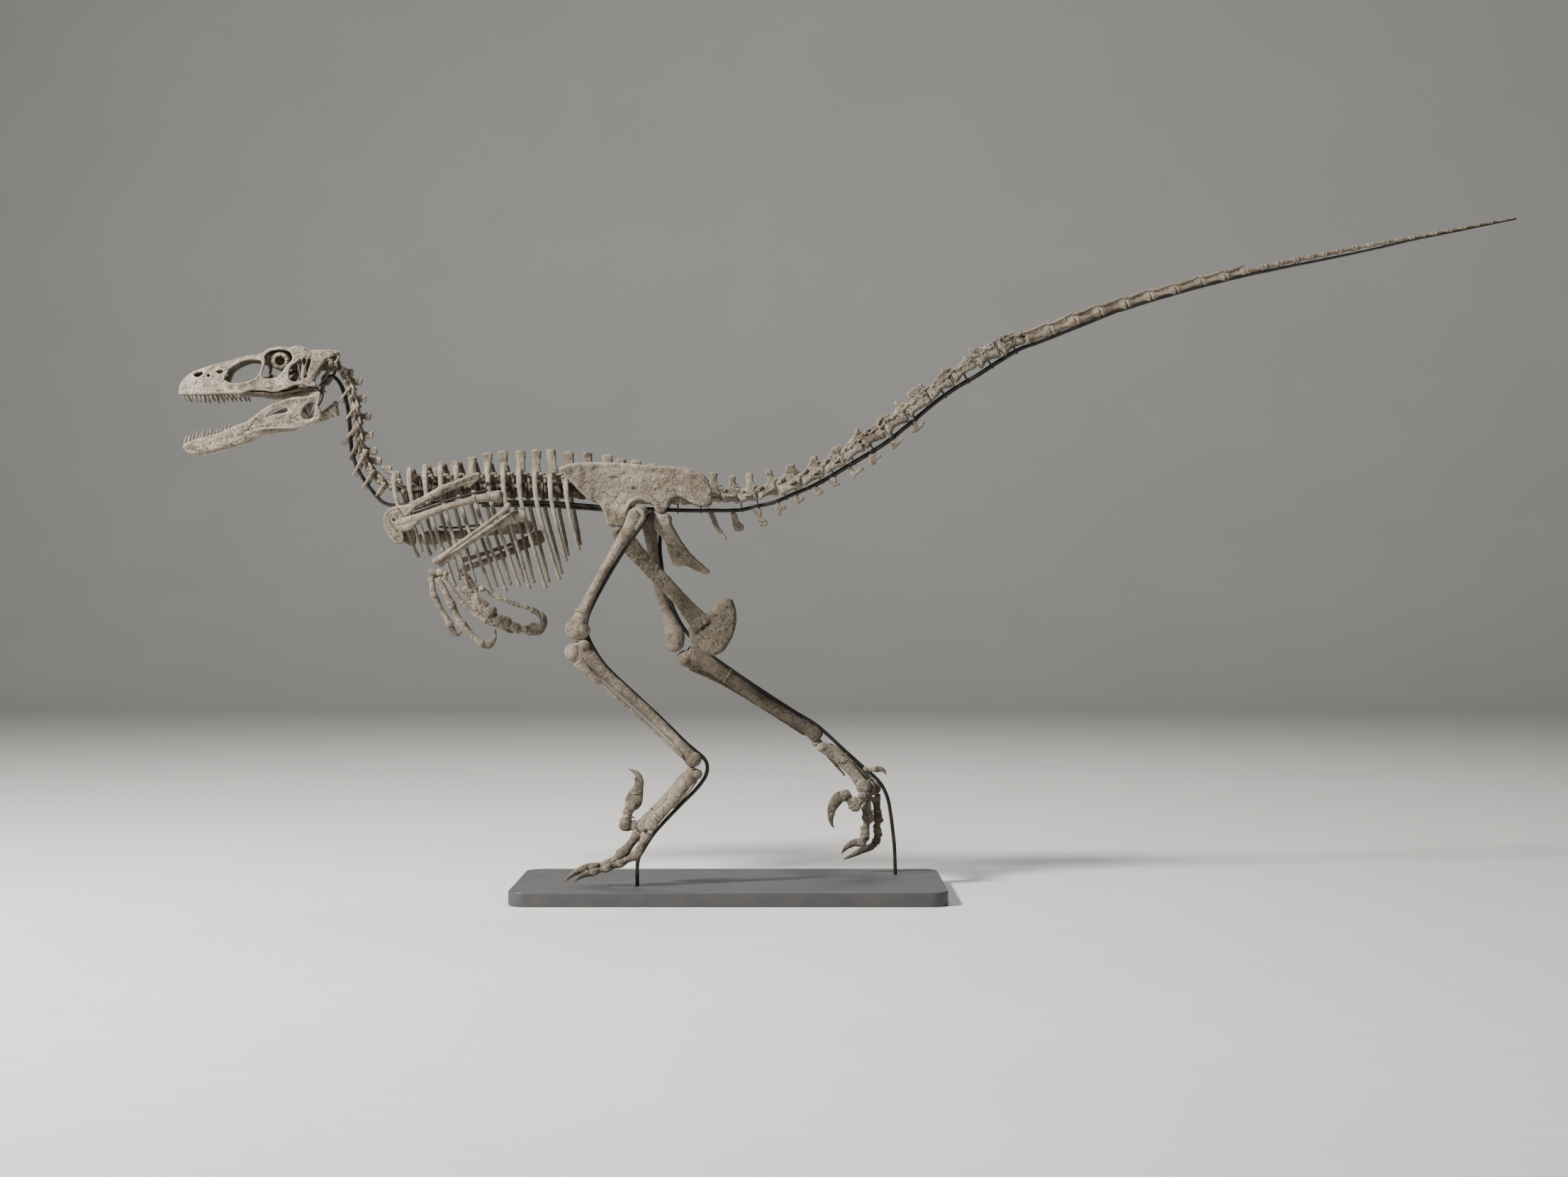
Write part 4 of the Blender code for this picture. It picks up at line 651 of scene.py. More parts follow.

# the far arm's long bones take the darker shade look: painted shade
armRight = {
    "y": 118,
    "humerus": {"shaft": [(-716, -13, 806, 9, 6), (-702, -11, 806, 16, 8), (-678, -7, 808, 17, 7),
        (-645, -3, 812, 11, 8), (-600, 0, 817, 10, 9), (-540, 1, 823, 10, 9), (-490, 2, 829, 13, 11),
        (-470, 2, 832, 16, 12), (-461, 2, 833, 12, 11)], "look": "shade", "seed": 31},
    "radius": {"shaft": [(-452, 10, 812, 7, 6), (-466, 10, 808, 5.5, 5), (-485, 10, 801, 4.5, 4.5),
        (-540, 10, 781, 4.5, 4.5), (-600, 9, 761, 5.5, 5), (-622, 8, 755, 7, 6)], "voxel": 1.4,
        "look": "shade", "seed": 32},
    "ulna": {"shaft": [(-434, -5, 812, 14, 8), (-446, -5, 807, 18, 8.5), (-464, -5, 798, 14, 8),
        (-490, -5, 784, 10, 7), (-530, -5, 765, 8, 6.5), (-575, -4, 749, 7, 6), (-612, -3, 736, 8, 7)],
        "look": "shade", "seed": 33},
    "wrist": [(-622, -3, 726, 9, 0.9, 1.2), (-609, 3, 716, 9, 0.9, 1.0), (-600, 6, 707, 7, 0.9, 1.0)],
    "wristCoarse": 1.1, "palmLook": "rough",
    "palm": [[(-616, -5, 716, 7, 6), (-600, -8, 702, 6.5, 5.5), (-585, -10, 691, 7, 5.5)],
        [(-616, 0, 690, 13, 8), (-600, 0, 671, 14, 8), (-575, 0, 650, 15, 8), (-562, 0, 640, 14, 8)],
        [(-612, 9, 704, 6, 5), (-604, 11, 672, 6, 5), (-588, 12, 643, 7, 6)]],
    "fingerOne": {"joints": [(-582, -11, 691, 7), (-536, -12, 670, 6.5), (-502, -13, 656, 6),
        (-458, -13, 642, 7)], "look": "rough", "seed": 61, "lumps": 0.9, "claw": [(-456, -13, 640, 7.5, 4),
        (-446, -13, 634, 6.5, 3.4), (-438, -13, 622, 3.6, 2.4), (-438, -13, 611, 1, 0.9)]},
    "fingerTwo": {"joints": [(-560, 0, 637, 15), (-534, 0, 616, 14.5), (-500, 0, 602, 11.5),
        (-466, 0, 590, 10)], "look": "rough", "seed": 64, "lumps": 1.0, "claw": [(-460, 0, 597, 15, 5),
        (-444, 0, 598, 15, 4.8), (-432, 0, 610, 8.5, 3.8), (-430, 0, 624, 4.5, 2.6), (-438, 0, 639, 1, 0.9)]},
    "fingerThree": {"joints": [(-586, 12, 640, 7), (-555, 12, 611, 6.5), (-522, 12, 596, 6)], "look": "rough",
        "seed": 67, "lumps": 0.8, "claw": [(-520, 12, 595, 5, 2.8), (-508, 12, 590, 4, 2.2),
        (-499, 12, 592, 1, 0.9)]}}


def palmBone(rows):
    # a waisted bone where two joints are given, and otherwise a bar with lumps of matrix round it
    clay = Clay()
    if len(rows) == 2:
        phalanx(clay, *rows)
        return skin(clay, 1.3, (0.35, 0.25, 0.5), int(-rows[0][0]), blend=2)
    bar(clay, rows)
    for k, (x, y, z, h, w) in enumerate(rows * 2):
        ball(clay, x + 7 * math.cos(2.4 * k), y, z + 7 * math.sin(2.4 * k), h * 0.6, 0.9)
    return skin(clay, 1.4, (1.7, 0.6, 1.4), int(-rows[0][0]))


def arm(side, shape):
    # three long bones, the small bones of the wrist and the palm as one piece, and three fingers
    y, ending = shape["y"], "_" + side.lower()
    for part in ("humerus", "radius", "ulna"):
        longBone(part + side, part + ending, shape[part], y)
    wrist = []
    for knob in shifted(shape["wrist"], y):
        clay = Clay()
        ball(clay, *knob)
        wrist.append(skin(clay, 1.3, (shape["wristCoarse"], 0.25, 0.5), int(-knob[0])))
    palm = [palmBone(shifted(rows, y)) for rows in shape["palm"]]
    piece("palm" + side, "palm" + ending, wrist + palm, shape["palmLook"])
    for number, word in enumerate(("One", "Two", "Three"), 1):
        digit(f"finger{word}{side}", f"finger_{number}{ending}", shape["finger" + word], y)


iliumShape = {  # seen from the side, and how far out it lies along it
    "reach": 56, "alongX": [-380, -340, -300, -250, -100, -48], "outs": [1.25, 1.12, 1.03, 1, 1, 1.06],
    "outline": [(-380.5, 955.1), (-366.1, 965.3), (-336.1, 971.3), (-300.1, 972.5), (-264.1, 971.9),
        (-228.1, 970.1), (-186.2, 965.9), (-144.2, 964.1), (-108.2, 961.1), (-78.2, 955.1), (-54.2, 940.1),
        (-42.2, 919.1), (-39.2, 895.1), (-44, 880.1), (-60.2, 874.1), (-84.2, 880.1), (-102.2, 890.9),
        (-120.2, 894.5), (-132.2, 888.5), (-138.2, 874.1), (-146.6, 862.1), (-156.2, 859.1), (-165.2, 863.3),
        (-171.2, 874.1), (-186.2, 881.3), (-201.1, 884.9), (-216.1, 880.1), (-225.1, 865.1), (-229.3, 847.1),
        (-235.3, 830.9), (-246.1, 828.5), (-261.1, 830.9), (-273.1, 829.7), (-277.3, 847.1), (-283.3, 865.1),
        (-297.1, 883.1), (-312.1, 886.7), (-330.1, 901.1), (-354.1, 927.5), (-372.1, 944.9)],
    "rim": [(-231, 862), (-222, 880), (-198, 893), (-170, 885), (-160, 872)],
    "crest": [(-376, 955), (-340, 965), (-260, 966), (-180, 961), (-110, 955), (-60, 937), (-47, 905)],
    "pits": [(-213, 913, 7, 3), (-165, 910, 5, 3), (-318, 926, 14, 5), (-118, 921, 12, 5),
        (-262, 938, 10, 4)],
    "socket": (-205, 862, 62, 24), "hollow": (-205, 925, 70, 22)}


def ilium(side, name, node):
    # a tall sheet, thick round the hip socket, raised along the socket's rim and its upper edge
    shape = iliumShape

    def place(x, v):
        return shape["reach"] * np.interp(x, shape["alongX"], shape["outs"]), v

    def thick(x, v, d):
        return 4.4 + 5.5 * bell(x, v, shape["socket"])

    def relief(x, v, d):
        raised = 3.4 * groove(x, v, shape["rim"], 7) + 1.6 * groove(x, v, shape["crest"], 6)
        for spot in shape["pits"]:
            raised = raised - 1.8 * bell(x, v, spot)
        return raised - 2.2 * bell(x, v, shape["hollow"])

    flatBone(name, node, side, shape["outline"], place, thick, relief, 6.0, (1.0, 0.4, 0.35), 71, "hip")


pubisShape = {  # half of the shaft, and the boot at its lower end seen from the side
    "shaft": [(-252, 55, 822, 16, 8), (-236, 48, 799, 20, 6), (-211, 36, 770, 19, 5.5),
        (-184, 22, 741, 18, 5.5), (-154, 11, 709, 17, 6), (-117, 6, 670, 17, 7), (-86, 5, 634, 20, 8),
        (-62, 4, 606, 26, 9)],
    "boot": [(-83.4, 612.4), (-60.9, 626.3), (-44, 642.7), (-28.8, 660.9), (-13.6, 668.1), (1.5, 666.9),
        (10.6, 654.8), (14.9, 627.5), (10.6, 594.2), (-0.3, 569.9), (-13.6, 549.9), (-34.8, 538.4),
        (-54.9, 541.4), (-74.3, 554.8), (-91.2, 576), (-92.5, 597.2)]}


def pubis():
    # two shafts that run together, and a pillow of slightly waved thickness for the boot
    clay = Clay()
    for side in (near, far):
        bar(clay, [(x, side * y, z, h, w) for x, y, z, h, w in pubisShape["shaft"]], sides=24)
    slab(clay, pubisShape["boot"], lambda x, v, d: 9.5 + 1.2 * np.sin(v / 17), 11.0, step=1.3)
    # the pubis in the darker shade look: painted shade
    piece("pubis", "pubis", [skin(clay, 1.7, (1.1, 0.35, 0.4), 75)], "shade")


ischiumShape = {  # seen from the side, and how far out it lies at each height
    "outline": [(-168.2, 853.1), (-150.2, 856.1), (-135.2, 854.9), (-132.2, 835.1), (-120.2, 814.1),
        (-99.2, 781.1), (-81.2, 761.4), (-63.2, 745.2), (-47, 730.2), (-50.6, 722.4), (-63.2, 723.6),
        (-87.2, 735), (-102.2, 740.4), (-114.2, 739.2), (-128, 744.6), (-137, 760.2), (-141.8, 787.2),
        (-153.2, 805.1), (-165.2, 820.1), (-169.4, 838.1)],
    "heights": [727, 744, 762, 786, 822, 846],
    "outs": [8, 16, 26, 39, 52, 53],
    "ridge": [(-152, 846), (-140, 815), (-118, 783), (-92, 758), (-60, 735)]}


def ischium(side, name, node):
    # a sheet that comes in towards its tip, thicker at the hip, with one low ridge
    shape = ischiumShape
    flatBone(name, node, side, shape["outline"],
             lambda x, v: (np.interp(v, shape["heights"], shape["outs"]), v),
             lambda x, v, d: 4.0 + 3.4 * np.clip((v - 800) / 45, 0, 1),
             lambda x, v, d: 1.6 * groove(x, v, shape["ridge"], 6), 4.5, (1.0, 0.4, 0.5), 77, "hip")


def metatarsus(name, node, shape):
    # three long bones side by side under a lumpy ankle, each with a pulley at its end, and a splint
    skins, seed, rows, (fanX, fanZ) = [], shape["seed"], shape["rows"], shape["fan"]
    for knob in shape["ankle"]:
        clay = Clay()
        ball(clay, *knob)
        skins.append(skin(clay, 1.6, (0.8, 0.25, 0.5), seed + len(skins)))
    for offset in (-13, 0, 13):
        clay = Clay()
        shares = [offset / 13 * (0.42 + 0.58 * k / (len(rows) - 1)) for k in range(len(rows))]
        bones = [(x + share * fanX, y + offset * spread, z + share * fanZ, h - 1.2, 6.8)
                 for share, (x, y, z, h, spread) in zip(shares, rows)]
        bar(clay, bones, sides=20)
        x, y, z, h = bones[-1][:4]
        for edge in (-1, 1):
            ball(clay, x, y + edge * 4.5, z, h * 1.18, 0.42)
        ball(clay, x, y, z, h * 1.02, 0.62)
        skins.append(skin(clay, 1.6, seed=seed + len(skins)))
    clay = Clay()
    bar(clay, shape["splint"])
    skins.append(skin(clay, 1.4, seed=seed + 8))
    piece(name, node, skins, shape.get("look", "body"))


# rows and knobs as in the arms; a metatarsus row ends with how far apart its three bones lie there
legLeft = {
    "femur": {"shaft": [(-216, -80, 858, 16, 12), (-206, -92, 848, 23, 13), (-222, -98, 818, 17, 13),
        (-246, -100, 782, 13, 12), (-280, -101, 725, 11.5, 12), (-306, -102, 675, 11.5, 12),
        (-325, -103, 635, 15, 15), (-335, -104, 607, 22, 18), (-337, -104, 592, 21, 18)],
        "knobs": [(-196, -68, 862, 15), (-343, -96, 600, 22, 0.6), (-341, -114, 598, 21, 0.6),
        (-330, -104, 597, 22)], "crest": [(-200, -102, 868, 7, 6), (-190, -106, 850, 6, 6),
        (-206, -106, 822, 5, 5)], "seed": 81},
    "tibia": {"shaft": [(-346, -104, 558, 19, 14), (-331, -104, 549, 29, 17), (-312, -105, 536, 22, 14),
        (-280, -106, 505, 15, 11), (-240, -107, 471, 13, 11), (-190, -108, 426, 12.5, 11),
        (-140, -109, 378, 12, 11), (-108, -109, 345, 11.5, 13), (-90, -110, 322, 16, 17),
        (-80, -110, 306, 15, 16)], "knobs": [(-344, -104, 549, 21), (-319, -98, 565, 15, 0.7),
        (-322, -112, 564, 15, 0.7), (-78, -102, 312, 17, 0.7), (-78, -118, 312, 17, 0.7)], "seed": 82},
    "fibula": {"shaft": [(-334, -124, 528, 12, 4.5), (-300, -124, 495, 7.5, 4.2), (-255, -123, 455, 4.8, 3.8),
        (-200, -122, 407, 3.8, 3.6), (-150, -122, 361, 3.8, 3.6), (-103, -124, 320, 4.8, 4)], "voxel": 1.3,
        "seed": 83},
    "metatarsus": {"ankle": [(-73, -118, 279, 11, 0.9, 1.2), (-73, -103, 279, 12, 0.9, 1.2),
        (-84, -110, 288, 9, 1.6, 1.2)], "rows": [(-84, -110, 280, 14, 0.8), (-103, -110, 258, 13.5, 0.8),
        (-136, -111, 218, 13, 1.0), (-172, -111, 180, 13.5, 1.2), (-187, -111, 165, 14, 1.5)],
        "splint": [(-72, -118, 268, 5, 3), (-92, -122, 240, 4, 3), (-124, -124, 205, 3, 2.6)],
        "fan": (-16, -5), "seed": 84},
    "toeOne": {"joints": [(-150, -84, 196, 4.5), (-168, -77, 163, 5.5)], "seed": 91,
        "claw": [(-170, -77, 160, 6, 3.4), (-181, -75, 152, 5, 3), (-190, -74, 139, 1, 0.9)]},
    "toeTwo": {"joints": [(-206, -90, 163, 12.5), (-232, -90, 165, 14), (-219, -90, 207, 13)], "seed": 93,
        "lumps": 0.3, "claw": [(-214, -90, 214, 20, 6), (-208, -90, 230, 18, 5.5), (-202, -90, 247, 12, 4.5),
        (-200, -90, 264, 10, 4), (-206, -90, 280, 6, 3), (-225, -90, 290, 1, 0.9)]},
    "toeThree": {"joints": [(-196, -111, 153, 13.5), (-233, -112, 106, 13), (-269, -113, 79, 11.5),
        (-298, -113, 74, 10.5)], "seed": 95, "lumps": 0.3, "claw": [(-301, -113, 74, 11, 6),
        (-322, -113, 70, 9, 5), (-345, -113, 59, 6, 3.6), (-366, -113, 40, 1, 0.9)]},
    "toeFour": {"joints": [(-179, -134, 152, 12), (-203, -137, 104, 11.5), (-238, -138, 85, 10),
        (-268, -138, 75, 9.5), (-296, -138, 66, 8.5)], "seed": 98, "lumps": 0.3,
        "claw": [(-297, -138, 66, 9, 4.5), (-314, -138, 62, 7, 4), (-330, -138, 54, 4.5, 3),
        (-342, -138, 43, 1, 0.9)]}}

# the far tibia and fibula take the darker shade look: painted shade
legRight = {
    "femur": {"shaft": [(-207, 80, 862, 15, 12), (-190, 86, 848, 22, 13), (-184, 88, 815, 16, 13),
        (-178, 88, 770, 13, 12), (-167, 88, 700, 11.5, 12), (-152, 88, 650, 12, 12), (-138, 87, 612, 17, 15),
        (-130, 86, 585, 24, 18), (-127, 86, 568, 22, 17)], "knobs": [(-196, 68, 862, 15),
        (-130, 77, 567, 23, 0.6), (-130, 96, 567, 23, 0.6)], "look": "hip", "seed": 101},
    "tibia": {"shaft": [(-98, 86, 536, 24, 16), (-84, 87, 530, 27, 17), (-60, 89, 521, 20, 14),
        (-20, 92, 495, 16, 12), (50, 97, 447, 14.5, 11), (120, 103, 403, 14, 11), (170, 109, 371, 14, 12),
        (190, 111, 358, 17, 16), (199, 112, 347, 16, 16)], "knobs": [(-103, 86, 530, 20),
        (-88, 90, 548, 12, 0.8)], "look": "shade", "seed": 102},
    "fibula": {"shaft": [(-92, 108, 510, 10, 4), (-60, 108, 494, 7.5, 4), (-10, 109, 467, 5.5, 4),
        (60, 115, 424, 4.6, 3.8), (120, 121, 386, 4.6, 3.8), (170, 128, 354, 5, 4)], "voxel": 1.4,
        "look": "shade", "seed": 103},
    "metatarsus": {"ankle": [(211, 107, 325, 12, 0.9, 1.2), (212, 122, 323, 12, 0.9, 1.2),
        (198, 118, 335, 10, 1.4, 1.2)], "rows": [(218, 116, 323, 15, 0.8), (246, 117, 306, 15, 0.8),
        (279, 118, 277, 14.5, 1.0), (304, 119, 247, 15, 1.2), (316, 120, 232, 15.5, 1.5)],
        "splint": [(222, 134, 306, 5, 3), (240, 137, 284, 4, 3), (262, 138, 258, 3, 2.6)], "fan": (13, -4),
        "look": "rough", "seed": 104},
    "toeOne": {"joints": [(303, 86, 276, 5), (329, 84, 276, 7)], "look": "rough", "seed": 111, "lumps": 0.5,
        "claw": [(333, 84, 276, 8, 4), (344, 84, 276, 6, 3.4), (352, 84, 271, 3.4, 2.4),
        (356, 84, 263, 1, 0.9)]},
    "toeTwo": {"joints": [(306, 97, 216, 12), (285, 96, 190, 13.5), (262, 96, 217, 12.5)], "look": "rough",
        "seed": 113, "lumps": 0.6, "claw": [(257, 96, 214, 13, 6), (245, 96, 207, 14, 5.5),
        (232, 96, 186, 11, 4.5), (229, 96, 165, 7, 3.6), (231, 96, 150, 4, 2.6), (237, 96, 140, 1, 0.9)]},
    "toeThree": {"joints": [(311, 120, 217, 13.5), (315, 120, 167, 13), (309, 120, 125, 11.5),
        (302, 120, 106, 10.5)], "seed": 115, "lumps": 0.5, "claw": [(299, 120, 104, 10, 6),
        (284, 120, 104, 9, 5), (266, 120, 94, 6, 3.6), (253, 120, 78, 1, 0.9)]},
    "toeFour": {"joints": [(333, 142, 210, 11.5), (339, 144, 160, 11), (338, 145, 131, 10),
        (337, 145, 108, 9.5), (324, 145, 92, 8.5)], "seed": 118, "lumps": 0.5,
        "claw": [(320, 145, 91, 9, 4.5), (302, 145, 84, 8, 4), (278, 145, 72, 5, 3), (258, 145, 62, 1, 0.9)]}}


def leg(side, shape):
    # three long bones, the metatarsus and four toes
    ending = "_" + side.lower()
    for part in ("femur", "tibia", "fibula"):
        longBone(part + side, part + ending, shape[part])
    metatarsus("metatarsus" + side, "metatarsus" + ending, shape["metatarsus"])
    for number, word in enumerate(("One", "Two", "Three", "Four"), 1):
        digit(f"toe{word}{side}", f"toe_{number}{ending}", shape["toe" + word])


def eachSide(make, name, node):
    # the left and the right one of a paired bone
    make(near, name + "Left", node + "_left")
    make(far, name + "Right", node + "_right")


eachSide(shoulder, "scapula", "scapula")
arm("Left", armLeft)
arm("Right", armRight)
print("arms made")
eachSide(ilium, "ilium", "ilium")
pubis()
eachSide(ischium, "ischium", "ischium")
print("hips made")
leg("Left", legLeft)
leg("Right", legRight)
print("legs made")


def tooth(clay, x, y, z, length, width, way):
    # a flattened cone that curves back; `way` is -1 for a tooth that hangs down
    bar(clay, [(x + back, y, z + way * length * along, width * h, width * w) for back, along, h, w in (
        (-1.2, -0.25, 1, 0.62), (0, 0.15, 1, 0.6), (1.2, 0.48, 0.84, 0.5), (3.0, 0.82, 0.5, 0.34),
        (4.6, 1, 0.18, 0.14))], sides=10, spacing=1.8, dome=0.3)


skullShape = {
    # along the head: x, half width at the jaw line and at the roof, height of the roof's bend
    "widths": [(-1236, 1, 1, 6), (-1234, 5, 4, 10), (-1231, 9.5, 8, 14), (-1226, 13, 11, 18),
        (-1218, 16.5, 13, 23), (-1208, 20, 15, 28), (-1190, 25, 18, 31), (-1165, 31, 22, 31),
        (-1140, 36, 25, 26), (-1110, 39, 26, 17), (-1085, 42, 27, 12), (-1060, 46, 31, 9), (-1035, 50, 37, 7),
        (-1010, 54, 42, 6), (-985, 58, 45, 7), (-955, 61, 44, 8), (-928, 60, 38, 9), (-905, 56, 34, 9),
        (-870, 48, 30, 9)],
    "top": [(-1237, 1126), (-1234, 1136), (-1231, 1145), (-1224, 1155.5), (-1211, 1168), (-1200, 1174),
        (-1181, 1182), (-1162, 1188.5), (-1150, 1192.5), (-1124, 1199), (-1100, 1208), (-1080, 1213),
        (-1057, 1216), (-1048, 1220), (-1038, 1226), (-1027, 1230), (-1010, 1232), (-983, 1231), (-975, 1235),
        (-966, 1236), (-954, 1232), (-943, 1226), (-930, 1228), (-907, 1228), (-884, 1226), (-872, 1223)],
    "low": [(-1233.5, 1125), (-1227, 1122.5), (-1190, 1122.5), (-1147, 1122.8), (-1099, 1124),
        (-1087, 1125.8), (-1075, 1130.3), (-1063, 1132.4), (-1042, 1131.2), (-1027, 1128.8), (-1012, 1128.8),
        (-997, 1133.3), (-979, 1140.8), (-967, 1143.8), (-952, 1145.3), (-940, 1141), (-922, 1144.4)],
    "rear": [(-934, 1157), (-929.7, 1170.8), (-919, 1186), (-908, 1200), (-899, 1201), (-888, 1192),
        (-880, 1188), (-882, 1198), (-877, 1208), (-875.5, 1217)],
    # three openings of the snout, the large one, the eye, three behind it and one at the back
    "openings": [[(-1178.7, 1172.7), (-1182.9, 1175.8), (-1190.5, 1175.3), (-1197, 1171.4), (-1198.7, 1166.5),
        (-1194.5, 1163.4), (-1186.9, 1163.9), (-1180.4, 1167.8)], [(-1147, 1174), (-1140, 1178),
        (-1132.5, 1175.5), (-1139, 1169.5)], [(-1168.5, 1165), (-1165, 1169), (-1161.5, 1166), (-1165, 1162)],
        [(-1128, 1158), (-1119, 1178), (-1105, 1190), (-1087, 1199), (-1072, 1201.5), (-1057, 1201),
        (-1049, 1198), (-1046, 1189), (-1048, 1178), (-1053, 1168), (-1060, 1160), (-1072, 1154),
        (-1087, 1150), (-1102, 1148.5), (-1114, 1149), (-1123, 1153)], [(-1040, 1208), (-1036, 1214),
        (-1027, 1220), (-1012, 1223.5), (-997, 1223.5), (-985, 1218.5), (-979, 1210), (-979, 1201),
        (-985, 1194), (-992, 1186), (-999, 1176), (-1005, 1167), (-1014, 1161), (-1030, 1158), (-1043, 1161),
        (-1044.5, 1171), (-1040.5, 1186), (-1038.5, 1198)], [(-965, 1198), (-961, 1203), (-957, 1196),
        (-957.5, 1183), (-959, 1168), (-957, 1158), (-959, 1152.5), (-970, 1151.5), (-979, 1154),
        (-984, 1161), (-984.5, 1173), (-981, 1183), (-975, 1191)], [(-956, 1200), (-953, 1205.5),
        (-949, 1203), (-948, 1196), (-951, 1190), (-954.5, 1192)], [(-944, 1203), (-938.5, 1203),
        (-940, 1189), (-943.5, 1174), (-945, 1162), (-951, 1161), (-949.5, 1177), (-947, 1189)],
        [(-898, 1207), (-890, 1215), (-882.5, 1217), (-883, 1208), (-889, 1201.5)]],
    "seams": [[(-1197, 1122), (-1193, 1150), (-1185, 1160)], [(-1173, 1138), (-1174, 1160), (-1166, 1176),
        (-1150, 1187), (-1120, 1198), (-1090, 1205), (-1062, 1210)], [(-1078, 1143), (-1060, 1153),
        (-1036, 1156)], [(-1030, 1150), (-1008, 1142), (-1000, 1134)], [(-1054, 1158), (-1046, 1166)],
        [(-990, 1222), (-985, 1230)]],
    "ridges": [[(-1052, 1214), (-1048, 1200), (-1047, 1185), (-1054, 1165)], [(-1003, 1160), (-992, 1178),
        (-980, 1196), (-968, 1210)], [(-968, 1211), (-940, 1212), (-905, 1208)], [(-1040, 1216),
        (-1022, 1225), (-1000, 1227), (-982, 1224)], [(-933, 1160), (-923, 1184), (-906, 1206)],
        [(-906, 1208), (-899, 1216), (-884, 1222)], [(-1085, 1133), (-1060, 1140), (-1020, 1140),
        (-985, 1147)]],
    "lean": 0.05, "near": 5550.0, "away": 5600.0, "eye": [121.6, 0.0, 690.0]}


def headTrue(points):
    # the head is a little lower on its right side, and its front is nearer the mid-plane than its back
    shape = skullShape
    out = np.clip(10 + (points[:, 0] + 1230) * 0.152, 10, 60)
    scale = ((shape["away"] - out) / shape["near"])[:, None]
    eye = np.array(shape["eye"])
    moved = points.copy()
    moved[:, [0, 2]] = (eye + (points - eye) * scale)[:, [0, 2]]
    moved[:, 2] -= shape["lean"] * (points[:, 1] + out)
    return moved


def headPiece(name, node, skins, look="skull"):
    # a piece of the head, brought to its true place
    for data in skins:
        data["points"] = headTrue(data["points"])
    piece(name, node, skins, look)


def roofAt(x):
    # at each x: half width at the jaw line and at the roof, height of the bend, height where it starts,
    # and the bend's length, a quarter of a circle of the mean square radius
    widths = np.array(skullShape["widths"], float).T
    wideLow, wideTop, bend = (np.interp(x, widths[0], column) for column in widths[1:])
    corner = np.interp(x, *np.array(skullShape["top"], float).T) - bend
    return wideLow, wideTop, bend, corner, 0.5 * math.pi * np.sqrt((wideTop**2 + bend**2) / 2)


def skullPlace(x, v):
    # up to the bend the wall leans in with the 1.5th power of its height, and past it a quarter ellipse
    # carries it over to the mid-plane
    wideLow, wideTop, bend, corner, arc = roofAt(x)
    rise = np.clip((v - 1122) / np.maximum(corner - 1122, 8), 0, 1)
    turn = np.clip((v - corner) / arc, 0, 1.03) * math.pi / 2
    return ((wideLow + (wideTop - wideLow) * rise**1.5) * np.where(v > corner, np.cos(turn), 1),
            np.where(v > corner, corner + bend * np.sin(turn), v))


def unroll(line):
    # from height to way along the wall, for the spots past the bend
    x, z = np.array(line, float).T
    _, _, bend, corner, arc = roofAt(x)
    share = np.arcsin(np.clip((z - corner) / bend, 0, 1)) * 2 / math.pi
    return np.column_stack([x, np.where(z > corner, corner + arc * share, z)])


def skullWall(side):
    # one half of the head's wall: thin, ridged round its openings, grooved at its seams, with two rows
    # of pits over the teeth, each pit a bell curve
    shape = skullShape
    cut = 15 if side == far else 0
    tops = np.array([(x, z) for x, z in shape["top"] if -1232 < x < -874 - cut], float)
    _, _, bend, _, arc = roofAt(tops[:, 0])
    outline = np.vstack([np.column_stack([tops[:, 0], tops[:, 1] - bend + arc * 1.02])[::-1],
                         [(-1234.5, 1139), (-1235, 1131)], shape["low"], np.array(shape["rear"]) - (cut, 0)])
    seams, ridges, openings = (
        [unroll(line) for line in shape[key]] for key in ("seams", "ridges", "openings"))
    pits = [(x, 1135 + 2 * math.sin(x)) for x in np.arange(-1222, -1186, 6.1)] + [
        (x, 1131 + 1.6 * math.sin(x * 1.7)) for x in np.arange(-1180, -1128, 7.3)]

    def relief(x, v, d):
        out = sum(1.3 * groove(x, v, line, 3.2) for line in ridges)
        out -= sum(groove(x, v, line, 1.1) for line in seams)
        for px, pv in pits:
            out -= 1.1 * np.exp(-((x - px)**2 + (v - pv)**2) / 1.7)
        for line in openings[3:]:
            out += 0.7 * groove(x, v, np.vstack([line, line[:1]]), 3.0)
        return out

    def thick(x, v, d):
        return (np.interp(x, [-1230, -1130, -1060, -940, -880], [4.5, 3.4, 2.6, 2.6, 3.6])
                + 0.8 * np.exp(-(v - 1124)**2 / 60))

    clay = Clay()
    plate(clay, outline, skullPlace, thick, openings[:8 if side == far else 9], relief, step=1.15, side=side)
    return skin(clay, raw=True, rough=(0.4, 0.3, 0.6), seed=3 + side)


